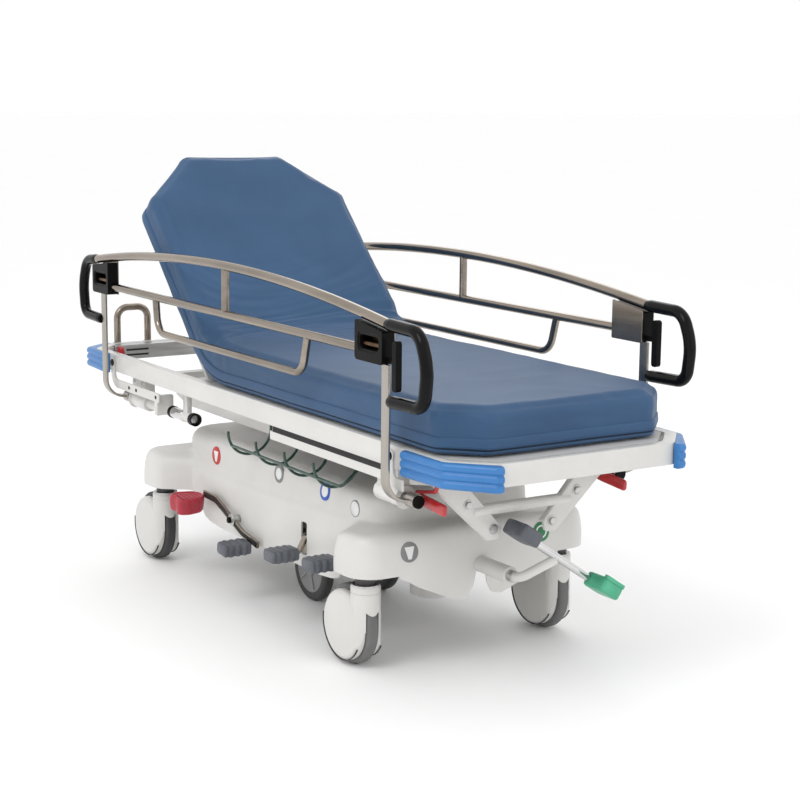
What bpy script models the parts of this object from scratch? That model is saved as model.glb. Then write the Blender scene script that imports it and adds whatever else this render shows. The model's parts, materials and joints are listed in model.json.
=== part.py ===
"""Hospital stretcher trolley: a wheeled base with two lifting columns, a tilting litter with a raising
backrest, and two fold-down side rails. Metres, +Z up. +X runs to the foot end, and the origin is on the
floor under the middle of the trolley. "Near" is the -Y side and "far" is the +Y side.
"""

import math

import bmesh
import bpy
from mathutils import Matrix, Vector

# Fit between touching pieces.
GAP = 0.0003

# Casters.
WHEEL_RADIUS = 0.100
TYRE_WIDTH = 0.032
CASTER_X = 0.570
CASTER_Y = 0.290
CASTER_TRAIL = 0.058
NECK_RADIUS = 0.037
NECK_TOP = 0.2125
COVER_RADIUS = 0.088
STEM_RADIUS = 0.011
CASTER_AXLE_RADIUS = 0.006
SWIVEL_SWEEP = 0.164

# Steering wheels in the middle of the base.
STEER_RADIUS = 0.090
STEER_Y = 0.108
STEER_WIDTH = 0.030
STEER_AXLE_RADIUS = 0.008
STEER_ARM_PIVOT = Vector((-0.140, 0.0, 0.185))

# Base frame and the shroud over it.
BEAM_Y = 0.160
BEAM_LOW = 0.225
BEAM_HIGH = 0.265
SHROUD_HALF_LENGTH = 0.642
SHROUD_HALF_WIDTH = 0.350
WAIST_HALF_LENGTH = 0.430
WAIST_HALF_WIDTH = 0.250
SHROUD_WALL = 0.004
SKIRT_LOW = 0.160
POD_LOW = 0.2145
SHELL_RIM = 0.330
SHOULDER_TOP = 0.416
DOME_TOP = 0.424

# Pedals.
BRAKE_PIVOT = Vector((-0.165, -0.270, 0.212))
PUMP_X = 0.205
RELEASE_X = 0.405
PEDAL_PIVOT_Y = -0.205
PEDAL_PIVOT_Z = 0.248
PEDAL_SLOTS = ((PUMP_X, 0.205, 0.283), (RELEASE_X, 0.215, 0.290))
ROCKER_X = 0.832
ROCKER_Z = 0.240
ROCKER_BAR_RADIUS = 0.0125

# Lifting columns.
COLUMN_X = 0.420
CYLINDER_RADIUS = 0.055
RAM_RADIUS = 0.045
INNER_RAM_RADIUS = 0.036
CYLINDER_LOW = 0.110
CYLINDER_HIGH = 0.400
RAM_HIGH = 0.440
PIVOT_Z = 0.475
PIN_RADIUS = 0.010

# Litter.
LITTER_HALF_LENGTH = 1.054
LITTER_HALF_WIDTH = 0.3355
LITTER_CHAMFER_X = 0.089
LITTER_CHAMFER_Y = 0.0855
LITTER_LOW = 0.541
LITTER_TOP = 0.593
CROSS_MEMBERS = (-0.560, -COLUMN_X, -0.200, 0.150, COLUMN_X, 0.700, 0.900)
CARRIER_STRUTS = (-0.560, -0.200, 0.150, 0.700)
RAIL_SECTION = 0.025
DECK_THICKNESS = 0.010
RAIL_HANGER_X = 0.700
PIVOT_TUBE_RADIUS = 0.0155
PIVOT_TUBE_END = -0.360
J_PLATE_Y = LITTER_HALF_WIDTH + 0.0015
RELEASE_Y = 0.2625
RELEASE_PIVOT = (0.832, LITTER_LOW - 0.014)
CARRIER_Y = 0.165
CARRIER_LOW = 0.452
CARRIER_HIGH = 0.512
BUMPER_FACE = 1.0775
PUSH_HANDLE_X = -1.0660
PUSH_HANDLE_Z = 0.567
BRACKET_X = 0.806
CRADLE_HOOPS = (-0.080, 0.078, 0.232, 0.382)

# Backrest and mattress.
HINGE_X = -0.240
HINGE_Z = 0.586
BACK_ANGLE = math.radians(45)
BACK_LENGTH = 0.752
MATTRESS_THICKNESS = 0.110
MATTRESS_HALF_WIDTH = 0.330
MATTRESS_FOOT_X = 1.000
MATTRESS_EASE = 0.012
HEAD_CHAMFER = 0.165
FOOT_CHAMFER = 0.090
MITRE_SLOPE = 0.86

# Side rails.
RAIL_Y = 0.375
RAIL_TUBE = 0.0125
RAIL_PIVOT_Y = 0.296
RAIL_PIVOT_Z = 0.465
RAIL_POSTS = {"head": -0.800, "foot": 0.790}
ARCH_TOP = 0.937
ARCH_CENTRE = -0.040
ARCH_DROP = 0.060
ARCH_REACH = 0.840
MID_TUBE_Z = 0.810
LOWER_TUBE_Z = 0.711
HOUSING_LOW = 0.786

SIDES = {"near": -1, "far": 1}
ENDS = {"head": -1, "foot": 1}


# ---------------------------------------------------------------- materials


def make_material(name, colour, roughness, metallic=0.0):
    material = bpy.data.materials.new(name)
    material.use_nodes = True
    shader = material.node_tree.nodes["Principled BSDF"]
    shader.inputs["Base Color"].default_value = (*colour, 1.0)
    shader.inputs["Roughness"].default_value = roughness
    shader.inputs["Metallic"].default_value = metallic
    return material


# ---------------------------------------------------------------- outlines and paths


def circle(radius, sides, centre=(0.0, 0.0)):
    turns = [2 * math.pi * i / sides for i in range(sides)]
    return [(centre[0] + radius * math.cos(a), centre[1] + radius * math.sin(a)) for a in turns]


def fillet(points, radii, steps=4, closed=False):
    """The polyline or polygon with each corner turned into an arc of its own radius."""
    points = [Vector(p) for p in points]
    count = len(points)
    result = []
    for i, corner in enumerate(points):
        radius = radii if isinstance(radii, (int, float)) else radii[i]
        if radius == 0 or (not closed and i in (0, count - 1)):
            result.append(corner.copy())
            continue
        to_last = (points[i - 1] - corner).normalized()
        to_next = (points[(i + 1) % count] - corner).normalized()
        half = to_last.angle(to_next) / 2
        if half > math.radians(89):
            result.append(corner.copy())
            continue
        centre = corner + (to_last + to_next).normalized() * (radius / math.sin(half))
        start = corner + to_last * (radius / math.tan(half)) - centre
        end = corner + to_next * (radius / math.tan(half)) - centre
        for k in range(steps + 1):
            arm = start.lerp(end, k / steps) if radius < 1e-6 else slerp(start, end, k / steps)
            result.append(centre + arm)
    return result


def slerp(start, end, t):
    angle = start.angle(end)
    weight_a = math.sin((1 - t) * angle) / math.sin(angle)
    weight_b = math.sin(t * angle) / math.sin(angle)
    return start * weight_a + end * weight_b


def mirrored_outline(quarter):
    """A closed outline from its first quadrant, listed from the +X axis round to the +Y axis."""
    half = quarter + [(-x, y) for x, y in reversed(quarter)]
    whole = half + [(-x, -y) for x, y in half]
    kept = []
    for point in whole:
        if not kept or (Vector(point) - Vector(kept[-1])).length > 1e-6:
            kept.append(point)
    return kept


# ---------------------------------------------------------------- solids


def skin(rings, closed_loop=False):
    """A closed solid through equal rings of points: capped at both ends, or joined end to end."""
    bm = bmesh.new()
    loops = [[bm.verts.new(p) for p in ring] for ring in rings]
    count = len(loops[0])
    pairs = list(zip(loops, loops[1:]))
    if closed_loop:
        pairs.append((loops[-1], loops[0]))
    for low, high in pairs:
        for i in range(count):
            j = (i + 1) % count
            bm.faces.new((low[i], low[j], high[j], high[i]))
    if not closed_loop:
        bm.faces.new(loops[0])
        bm.faces.new(loops[-1])
    bmesh.ops.recalc_face_normals(bm, faces=bm.faces)
    return bm


def extrude(outline, axis, low, high):
    """A prism: its outline is in the two other axes, in X, Y, Z order, and it runs from low to high."""
    def place(u, v, w):
        return {"X": (w, u, v), "Y": (u, w, v), "Z": (u, v, w)}[axis]

    return skin([[place(p[0], p[1], w) for p in outline] for w in (low, high)])


def box(low, high):
    corners = [(low[0], low[1]), (high[0], low[1]), (high[0], high[1]), (low[0], high[1])]
    return extrude(corners, "Z", low[2], high[2])


def cylinder(axis, centre, radius, low, high, sides=24):
    return extrude(circle(radius, sides, centre), axis, low, high)


def turned(profile, centre, sides):
    """A ring turned about an axis along Y: the profile is a closed list of (radius, y)."""
    rings = []
    for i in range(sides):
        angle = 2 * math.pi * i / sides
        arm = Vector((math.cos(angle), 0, math.sin(angle)))
        rings.append([Vector(centre) + arm * r + Vector((0, y, 0)) for r, y in profile])
    return skin(rings, closed_loop=True)


def sweep(path, profile, plane_normal=None):
    """The profile carried along the path; its second axis stays on plane_normal where one is given."""
    path = [Vector(p) for p in path]
    tangents = []
    for i in range(len(path)):
        ahead = path[min(i + 1, len(path) - 1)] - path[i]
        behind = path[i] - path[max(i - 1, 0)]
        tangents.append((ahead.normalized() + behind.normalized()).normalized())
    normal = Vector(plane_normal) if plane_normal else tangents[0].orthogonal().normalized()
    rings = []
    for point, tangent in zip(path, tangents):
        normal = (normal - tangent * normal.dot(tangent)).normalized()
        side = tangent.cross(normal)
        rings.append([point + side * a + normal * b for a, b in profile])
    return skin(rings)


def tube(path, radius, sides=10, plane_normal=None):
    return sweep(path, circle(radius, sides), plane_normal)


def strip(path, thickness, width, plane_normal):
    a, b = thickness / 2, width / 2
    return sweep(path, [(-a, -b), (a, -b), (a, b), (-a, b)], plane_normal)


# ---------------------------------------------------------------- objects


def add_object(name, bm, material, origin=(0, 0, 0)):
    """A named object from geometry in world coordinates, with its own origin where it turns or slides."""
    mesh = bpy.data.meshes.new(name)
    bm.to_mesh(mesh)
    bm.free()
    mesh.transform(Matrix.Translation(-Vector(origin)))
    obj = bpy.data.objects.new(name, mesh)
    obj.location = origin
    obj.data.materials.append(material)
    bpy.context.scene.collection.objects.link(obj)
    return obj


def combine(obj, solids, operation):
    """The object after a Boolean with each solid in turn."""
    for bm in solids:
        tool = add_object("tool", bm, obj.data.materials[0])
        modifier = obj.modifiers.new("combine", "BOOLEAN")
        modifier.operation = operation
        modifier.solver = "EXACT"
        modifier.object = tool
        bpy.context.view_layer.update()
        graph = bpy.context.evaluated_depsgraph_get()
        mesh = bpy.data.meshes.new_from_object(obj.evaluated_get(graph))
        obj.modifiers.clear()
        mesh.name = obj.name
        obj.data = mesh
        bpy.data.objects.remove(tool)
    return obj


def join(obj, *solids):
    return combine(obj, solids, "UNION")


def cut(obj, *solids):
    return combine(obj, solids, "DIFFERENCE")


def smooth(obj, degrees=35):
    obj.data.shade_smooth()
    obj.data.set_sharp_from_angle(angle=math.radians(degrees))
    return obj


# ---------------------------------------------------------------- base


def base_frame(steel):
    """Two long beams, a cross beam over each pair of casters, and a plate round each column."""
    section = 0.020
    frame = add_object("base_frame", box((-0.59, BEAM_Y - section, BEAM_LOW),
                                         (0.59, BEAM_Y + section, BEAM_HIGH)), steel)
    solids = [box((-0.59, -BEAM_Y - section, BEAM_LOW), (0.59, -BEAM_Y + section, BEAM_HIGH))]
    for end in ENDS.values():
        x = end * CASTER_X
        solids.append(box((x - section, -CASTER_Y, BEAM_LOW + 0.002),
                          (x + section, CASTER_Y, BEAM_HIGH - 0.002)))
        x = end * COLUMN_X
        solids.append(box((x - 0.075, -BEAM_Y, BEAM_LOW + 0.012), (x + 0.075, BEAM_Y, BEAM_LOW + 0.028)))
        for side in SIDES.values():
            solids.append(cylinder("Z", (end * CASTER_X, side * CASTER_Y), 0.026,
                                   NECK_TOP + 0.0015, BEAM_HIGH + 0.006))
    solids.append(box((STEER_ARM_PIVOT.x - 0.02, -BEAM_Y, BEAM_LOW + 0.004),
                      (STEER_ARM_PIVOT.x + 0.02, BEAM_Y, BEAM_HIGH - 0.004)))
    join(frame, *solids)
    holes = [cylinder("Z", (end * COLUMN_X, 0), CYLINDER_RADIUS + GAP, 0.20, 0.30, 32)
             for end in ENDS.values()]
    holes += [cylinder("Z", (end * CASTER_X, side * CASTER_Y), STEM_RADIUS + 0.001, 0.20, 0.28, 16)
              for end in ENDS.values() for side in SIDES.values()]
    return cut(frame, *holes)


def shroud_outline(inset):
    """The plan of the shroud: a waist between four rounded corner pods."""
    length = SHROUD_HALF_LENGTH - inset
    width = SHROUD_HALF_WIDTH - inset
    waist = WAIST_HALF_WIDTH - inset
    slope = 0.075
    quarter = [(length, 0.0), (length, width), (WAIST_HALF_LENGTH + slope + inset, width),
               (WAIST_HALF_LENGTH + inset, waist), (0.0, waist)]
    radii = [0, 0.062 - inset, 0.050 - inset * 0.5, 0.060 + inset, 0]
    return mirrored_outline([tuple(p) for p in fillet(quarter, radii, steps=4)])


def rounded_rectangle(half_length, half_width, radius, steps=3):
    corners = [(half_length, half_width), (-half_length, half_width),
               (-half_length, -half_width), (half_length, -half_width)]
    return fillet(corners, radius, steps, closed=True)


def shroud_shell(inset):
    """The three stacked forms of the shroud, each set in by the same amount."""
    rim = SHELL_RIM - inset
    low = SKIRT_LOW - (0.02 if inset else 0.0)
    skirt = skin([[(*p, low) for p in shroud_outline(inset)],
                  [(*p, rim) for p in shroud_outline(inset)],
                  [(*p, rim + 0.013) for p in shroud_outline(inset + 0.012)]])
    shoulder = skin([[(*p, z - (inset if z > 0.30 else 0)) for p in
                      rounded_rectangle(0.545 - inset - draw, 0.244 - inset - draw, 0.06)]
                     for z, draw in ((0.29, 0.0), (0.385, 0.006), (SHOULDER_TOP - 0.008, 0.018),
                                     (SHOULDER_TOP, 0.036))])
    domes = []
    for end in ENDS.values():
        levels = ((0.300, 0.0), (0.372, 0.008), (0.408, 0.034), (DOME_TOP, 0.060))
        domes.append(skin([[(p[0] + end * COLUMN_X, p[1], z - (inset if z > 0.35 else 0)) for p in
                            rounded_rectangle(0.135 - inset - draw, 0.160 - inset - draw, 0.05)]
                           for z, draw in levels]))
    return skirt, [shoulder, *domes]


def base_shroud(white_plastic):
    """One moulded cover, open underneath, with its skirt cut up over the casters."""
    outer, outer_more = shroud_shell(0.0)
    shroud = join(add_object("base_shroud", outer, white_plastic), *outer_more)
    inner, inner_more = shroud_shell(SHROUD_WALL)
    cutters = [inner, *inner_more]
    for end in ENDS.values():
        cutters.append(cylinder("Z", (end * COLUMN_X, 0), CYLINDER_RADIUS + 0.002, 0.30, 0.45, 32))
        for side in SIDES.values():
            cutters.append(cylinder("Z", (end * CASTER_X, side * CASTER_Y), SWIVEL_SWEEP,
                                    0.10, POD_LOW, 40))
        notch = fillet([(-0.024, 0.10), (0.024, 0.10), (0.024, 0.262), (-0.024, 0.262)],
                       [0, 0, 0.02, 0.02], closed=True)
        cutters.append(extrude(notch, "X", min(end * 0.60, end * 0.68), max(end * 0.60, end * 0.68)))
    for x, low, high in PEDAL_SLOTS:
        cutters.append(box((x - 0.017, -0.30, low), (x + 0.017, -0.20, high)))
    cutters.append(cylinder("Y", (BRAKE_PIVOT.x, BRAKE_PIVOT.z), 0.013, -0.30, -0.20, 16))
    return smooth(cut(shroud, *cutters))


def column_cylinder(end, steel):
    """The outer tube of a lifting column, closed at its foot."""
    x = ENDS[end] * COLUMN_X
    body = add_object(f"{end}_cylinder", cylinder("Z", (x, 0), CYLINDER_RADIUS, CYLINDER_LOW,
                                                  CYLINDER_HIGH, 32), steel)
    return smooth(cut(body, cylinder("Z", (x, 0), RAM_RADIUS + 0.0005, CYLINDER_LOW + 0.006, 0.45, 32)))


def foot_pedal_sleeve(white_paint):
    """The tube that carries the foot-end rocker's shaft out of the base."""
    sleeve = add_object("foot_pedal_sleeve",
                        cylinder("X", (0, ROCKER_Z), 0.021, 0.595, 0.765), white_paint)
    return smooth(cut(sleeve, cylinder("X", (0, ROCKER_Z), 0.0135, 0.55, 0.80)))


# ---------------------------------------------------------------- wheels


def caster_fork(name, x, y, white_plastic):
    """A neck that runs down into two side covers, with the tyre's slot open at the front."""
    axle_x = x - CASTER_TRAIL
    rear = axle_x - COVER_RADIUS - 0.02
    plan = [(x + NECK_RADIUS * math.cos(a), y + NECK_RADIUS * math.sin(a))
            for a in [math.pi * (k / 8 - 0.5) for k in range(9)]]
    plan += [(rear, y + NECK_RADIUS), (rear, y - NECK_RADIUS)]
    fork = add_object(name, extrude(plan, "Z", 0.005, 0.195), white_plastic, (x, y, WHEEL_RADIUS))
    combine(fork, [cylinder("Y", (axle_x, WHEEL_RADIUS), COVER_RADIUS, y - 0.06, y + 0.06, 24)],
            "INTERSECT")
    join(fork, cylinder("Z", (x, y), NECK_RADIUS, WHEEL_RADIUS, NECK_TOP, 16),
         cylinder("Z", (x, y), STEM_RADIUS, NECK_TOP - 0.01, BEAM_HIGH + 0.004, 8))
    half_slot = TYRE_WIDTH / 2 + 0.0015
    slot = cylinder("Y", (axle_x, WHEEL_RADIUS), WHEEL_RADIUS + 0.0025, y - half_slot, y + half_slot, 24)
    front = box((x - 0.02, y - half_slot, 0.04), (x + 0.06, y + half_slot, 0.133))
    axle = cylinder("Y", (axle_x, WHEEL_RADIUS), CASTER_AXLE_RADIUS,
                    y - half_slot - 0.002, y + half_slot + 0.002, 8)
    return smooth(join(cut(fork, slot, front), axle))


def wheel(name, centre, radius, width, bore, rubber, sides=24):
    """A tyre on its hub, with an eased tread and a bore for the axle, centred on its own origin."""
    half = width / 2
    shoulder = 0.007
    crown = half - 0.008
    profile = [(bore, -half), (radius - shoulder, -half), (radius, -crown), (radius, crown),
               (radius - shoulder, half), (bore, half)]
    made = smooth(add_object(name, turned(profile, (0, 0, 0), sides), rubber))
    made.location = centre
    return made


def steering_arm(steel):
    """The drop arm that presses the two middle wheels onto the floor."""
    pivot = STEER_ARM_PIVOT
    axle = Vector((0.0, 0.0, STEER_RADIUS))
    arm = add_object("steering_arm", cylinder("Y", (pivot.x, pivot.z), 0.014, -0.100, 0.100, 16),
                     steel, pivot)
    path = [(pivot.x, 0, pivot.z), (axle.x, 0, axle.z)]
    bars = [sweep([(x, side * 0.078, z) for x, _, z in path],
                  [(-0.012, -0.004), (0.012, -0.004), (0.012, 0.004), (-0.012, 0.004)], (0, 1, 0))
            for side in SIDES.values()]
    axle_rod = cylinder("Y", (axle.x, axle.z), STEER_AXLE_RADIUS, -STEER_Y - 0.022, STEER_Y + 0.022, 12)
    return join(arm, *bars, axle_rod)


# ---------------------------------------------------------------- pedals


def brake_bar(steel):
    """The rocking bar along the near side, with its pivot pin through the shroud."""
    path = fillet([(-0.345, -0.272, 0.250), (-0.270, -0.272, 0.248), (-0.110, -0.272, 0.186),
                   (-0.020, -0.272, 0.172)], [0, 0.06, 0.06, 0], 3)
    bar = add_object("brake_bar", strip(path, 0.020, 0.008, (0, 1, 0)), steel, BRAKE_PIVOT)
    return smooth(join(bar, cylinder("Y", (BRAKE_PIVOT.x, BRAKE_PIVOT.z), 0.011, -0.279, -0.185, 16)))


def pedal_pad(name, centre, size, material, origin, tilt=0.0):
    """A rounded foot pad: wide at its outer edge, with eased corners."""
    half_x, half_y, half_z = (s / 2 for s in size)
    plan = fillet([(-half_x * 0.8, half_y), (-half_x, -half_y * 0.6), (-half_x * 0.7, -half_y),
                   (half_x * 0.7, -half_y), (half_x, -half_y * 0.6), (half_x * 0.8, half_y)],
                  [0.006, 0.010, 0.008, 0.008, 0.010, 0.006], 2, closed=True)
    ease = 0.003
    levels = ((-half_z, 0.90), (-half_z + ease, 1.0), (half_z - ease, 1.0), (half_z, 0.90))
    rings = [[(p[0] * shrink, p[1] * shrink, z) for p in plan] for z, shrink in levels]
    bm = skin(rings)
    bmesh.ops.rotate(bm, cent=(0, 0, 0), matrix=Matrix.Rotation(tilt, 3, "Y"), verts=bm.verts)
    bmesh.ops.translate(bm, vec=centre, verts=bm.verts)
    return smooth(add_object(name, bm, material, origin))


def side_pedals(steel, red, grey):
    brake_bar(steel)
    pedal_pad("brake_pad", (-0.345, -0.320, 0.232), (0.085, 0.100, 0.046), red, BRAKE_PIVOT, 0.10)
    pedal_pad("neutral_pad", (-0.066, -0.318, 0.160), (0.060, 0.090, 0.036), grey, BRAKE_PIVOT, 0.10)
    for pedal, x, z, pad_y in (("pump", PUMP_X, 0.205, -0.322), ("release", RELEASE_X, 0.228, -0.322)):
        origin = Vector((x, PEDAL_PIVOT_Y, PEDAL_PIVOT_Z))
        path = fillet([(x, -0.200, PEDAL_PIVOT_Z), (x, -0.248, PEDAL_PIVOT_Z - 0.001),
                       (x, -0.272, z), (x, pad_y + 0.018, z)], [0, 0.02, 0.015, 0], 3)
        arm = add_object(f"{pedal}_arm", strip(path, 0.010, 0.018, (1, 0, 0)), steel, origin)
        smooth(join(arm, cylinder("X", (PEDAL_PIVOT_Y, PEDAL_PIVOT_Z), 0.010,
                                  x - 0.022, x + 0.022, 16)))
        pad = pedal_pad(f"{pedal}_pad", (x, pad_y, z), (0.062, 0.084, 0.036), grey, origin)
        cut(pad, box((x - 0.0095, pad_y, z - 0.0055), (x + 0.0095, pad_y + 0.05, z + 0.0055)))
    for name in ("brake_pad", "neutral_pad"):
        cut(bpy.data.objects[name], box((-0.36, -0.2767, 0.14), (0.02, -0.20, 0.30)))


def foot_rocker(chrome, grey, green):
    """The foot-end rocker: its shaft leaves the sleeve, rises to the bar, and the bar has a pad each end."""
    origin = (ROCKER_X, 0, ROCKER_Z)
    high = Vector((ROCKER_X, -0.015, 0.357))
    low = Vector((ROCKER_X, 0.195, 0.2175))
    middle = high.lerp(low, 0.52)
    shaft = fillet([(0.600, 0, ROCKER_Z), (0.800, 0, ROCKER_Z), tuple(middle - Vector((0.0, 0.01, 0)))],
                   [0, 0.03, 0], 4)
    rocker = add_object("foot_rocker", tube(shaft, 0.0120, 12), chrome, origin)
    smooth(join(rocker, tube([high, low], ROCKER_BAR_RADIUS, 12, (1, 0, 0))))
    along = (low - high).normalized()
    lean = math.atan2(along.z, along.y)
    for name, end, out, material in (("foot_pad_brake", high, -1, grey), ("foot_pad_steer", low, 1, green)):
        plan = fillet([(-0.018, -0.037), (0.062, -0.034), (0.062, 0.034), (-0.018, 0.037)],
                      0.010, 2, closed=True)
        rings = [[(p[0] * s, p[1] * s, z) for p in plan]
                 for z, s in ((-0.018, 0.9), (-0.014, 1.0), (0.014, 1.0), (0.018, 0.9))]
        bm = skin(rings)
        bmesh.ops.rotate(bm, cent=(0, 0, 0), matrix=Matrix.Rotation(lean, 3, "X"), verts=bm.verts)
        bmesh.ops.translate(bm, vec=end + along * out * 0.022 + Vector((0.006, 0, 0)), verts=bm.verts)
        pad = smooth(add_object(name, bm, material, origin))
        reach = [end - along * out * 0.06, end + along * out * 0.002]
        cut(pad, tube(reach, ROCKER_BAR_RADIUS + GAP * 2, 12, (1, 0, 0)))


# ---------------------------------------------------------------- lift


def head_ram(steel):
    """The single ram at the head end, whose eye takes the litter's pivot pin."""
    x = -COLUMN_X
    ram = add_object("head_ram", cylinder("Z", (x, 0), RAM_RADIUS, CYLINDER_LOW + 0.008, RAM_HIGH, 32),
                     steel, (x, 0, RAM_HIGH))
    join(ram, box((x - 0.020, -0.030, RAM_HIGH - 0.02), (x + 0.020, 0.030, PIVOT_Z)),
         cylinder("Y", (x, PIVOT_Z), 0.022, -0.030, 0.030, 20))
    return smooth(cut(ram, cylinder("Y", (x, PIVOT_Z), PIN_RADIUS + 0.001, -0.05, 0.05, 16)))


def foot_sleeve(steel):
    """The outer stage of the foot-end column, which rises with the lift."""
    x = COLUMN_X
    sleeve = add_object("foot_sleeve", cylinder("Z", (x, 0), RAM_RADIUS, CYLINDER_LOW + 0.008,
                                                RAM_HIGH - 0.006, 32), steel, (x, 0, RAM_HIGH))
    return smooth(cut(sleeve, cylinder("Z", (x, 0), INNER_RAM_RADIUS + 0.0005, 0.124, 0.45, 32)))


def foot_ram(steel):
    """The inner stage of the foot-end column, with a slot for the litter's sliding pin."""
    x = COLUMN_X
    ram = add_object("foot_ram", cylinder("Z", (x, 0), INNER_RAM_RADIUS, 0.126, RAM_HIGH, 32),
                     steel, (x, 0, RAM_HIGH))
    join(ram, box((x - 0.050, -0.030, RAM_HIGH - 0.004), (x + 0.028, 0.030, PIVOT_Z + 0.024)))
    slot = fillet([(x - 0.036, PIVOT_Z - 0.0125), (x + 0.0125, PIVOT_Z - 0.0125),
                   (x + 0.0125, PIVOT_Z + 0.0125), (x - 0.036, PIVOT_Z + 0.0125)], 0.012, 4, closed=True)
    return smooth(cut(ram, extrude(slot, "Y", -0.05, 0.05)))


# ---------------------------------------------------------------- litter


def litter_outline(inset):
    length = LITTER_HALF_LENGTH - inset
    width = LITTER_HALF_WIDTH - inset
    run_x, run_y = LITTER_CHAMFER_X - inset * 0.4, LITTER_CHAMFER_Y - inset * 0.4
    quarter = [(length, 0.0), (length, width - run_y), (length - run_x, width), (0.0, width)]
    return mirrored_outline([tuple(p) for p in fillet(quarter, [0, 0.03, 0.03, 0], 3)])


def pivot_tube(side):
    """The long tube that carries a rail's pivot rod at the head end, with its second hanger."""
    y = side * RAIL_PIVOT_Y
    near, far = sorted((side * 0.288, side * 0.304))
    tie_near, tie_far = sorted((side * 0.288, side * (J_PLATE_Y + 0.0025)))
    return (cylinder("X", (y, RAIL_PIVOT_Z), PIVOT_TUBE_RADIUS, -0.745, PIVOT_TUBE_END, 20),
            box((-0.412, near, RAIL_PIVOT_Z - 0.005), (-0.388, far, LITTER_LOW + 0.010)),
            box((-0.530, tie_near, RAIL_PIVOT_Z - 0.010), (-0.510, tie_far, 0.512)))


def j_plate(end, side):
    """A bent flat plate on the litter's side beside a rail post, which runs on below the litter."""
    y = side * J_PLATE_Y
    x, reach = (-0.828, -0.500) if end < 0 else (0.752, 0.806)
    path = fillet([(x, y, 0.580), (x, y, 0.507), (reach, y, 0.507)], [0, 0.032, 0], 4)
    return strip(path, 0.026, 0.005, (0, 1, 0))


def litter_frame(white_paint):
    """The perimeter rail, its cross members, and the two carriers that meet the columns."""
    frame = add_object("litter_frame", extrude(litter_outline(0.0), "Z", LITTER_LOW, LITTER_TOP),
                       white_paint)
    cut(frame, extrude(litter_outline(RAIL_SECTION), "Z", 0.50, 0.65))
    inner = LITTER_HALF_WIDTH - RAIL_SECTION / 2
    cross_low, cross_high = LITTER_LOW + 0.001, LITTER_LOW + 0.028
    for x in CROSS_MEMBERS:
        join(frame, box((x - 0.018, -inner, cross_low), (x + 0.018, inner, cross_high)))
    for side in SIDES.values():
        near, far = sorted((side * (CARRIER_Y - 0.016), side * (CARRIER_Y + 0.016)))
        shape = fillet([(-0.720, CARRIER_LOW + 0.022), (-0.640, CARRIER_LOW), (0.600, CARRIER_LOW),
                        (0.730, CARRIER_LOW + 0.022), (0.730, CARRIER_HIGH), (-0.720, CARRIER_HIGH)],
                       [0.01, 0.04, 0.04, 0.01, 0.01, 0.01], 2, closed=True)
        join(frame, extrude(shape, "Y", near, far))
        for x in CARRIER_STRUTS:
            join(frame, box((x - 0.014, near + 0.004, CARRIER_HIGH - 0.01),
                            (x + 0.014, far - 0.004, cross_low + 0.01)))
        for end in ENDS.values():
            x = end * RAIL_HANGER_X
            y_low, y_high = sorted((side * (RAIL_PIVOT_Y - 0.028), side * (RAIL_PIVOT_Y + 0.028)))
            hanger = box((x - 0.045, y_low + 0.012, RAIL_PIVOT_Z - 0.010), (x + 0.045, y_high - 0.012,
                                                                          LITTER_LOW + 0.010))
            eye = cylinder("X", (side * RAIL_PIVOT_Y, RAIL_PIVOT_Z), 0.024, x - 0.050, x + 0.050, 20)
            join(frame, hanger, eye)
            if end < 0:
                join(frame, *pivot_tube(side))
            join(frame, j_plate(end, side))
            cut(frame, cylinder("X", (side * RAIL_PIVOT_Y, RAIL_PIVOT_Z), 0.0115, x - 0.07, x + 0.07, 16))
    for end in ENDS.values():
        x = end * COLUMN_X
        join(frame, cylinder("Y", (x, PIVOT_Z), PIN_RADIUS, -CARRIER_Y, CARRIER_Y, 16))
    return frame


def seat_deck(grey_panel):
    """The flat panel under the seat and legs, let in between the litter's rails."""
    foot = LITTER_HALF_LENGTH - RAIL_SECTION - 0.004
    width = LITTER_HALF_WIDTH - RAIL_SECTION - 0.003
    plan = fillet([(HINGE_X + 0.022, -width), (foot - 0.085, -width), (foot, -width + 0.085),
                   (foot, width - 0.085), (foot - 0.085, width), (HINGE_X + 0.022, width)],
                  [0, 0.02, 0.02, 0.02, 0.02, 0], 2, closed=True)
    return add_object("seat_deck", extrude(plan, "Z", LITTER_TOP - DECK_THICKNESS, LITTER_TOP),
                      grey_panel)


def corner_bumper(name, end, side, blue):
    """A moulded buffer wrapped round one corner of the litter."""
    clear = GAP * 2
    start, turn = (0.815, 0.974) if end > 0 else (0.857, 1.018)
    inner = [(start, LITTER_HALF_WIDTH + clear), (0.965, LITTER_HALF_WIDTH + clear),
             (LITTER_HALF_LENGTH + clear, 0.256), (LITTER_HALF_LENGTH + clear, 0.248)]
    outer = [(BUMPER_FACE, 0.248), (BUMPER_FACE, 0.268), (turn, 0.347), (start, 0.357)]
    plan = fillet(inner + outer, [0, 0.03, 0.005, 0, 0.004, 0.01, 0.03, 0.006], 3, closed=True)
    plan = [(end * p[0], side * p[1]) for p in plan]
    ease = 0.004
    middle = Vector((end * 0.955, side * 0.315))
    rings = []
    for z, shrink in ((0.533, 0.985), (0.533 + ease, 1.0), (0.592 - ease, 1.0), (0.592, 0.985)):
        rings.append([(*(middle + (Vector(p) - middle) * shrink), z) for p in plan])
    bumper = smooth(add_object(name, skin(rings), blue))
    return cut(bumper, extrude(litter_outline(-clear), "Z", 0.50, 0.62))


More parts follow.
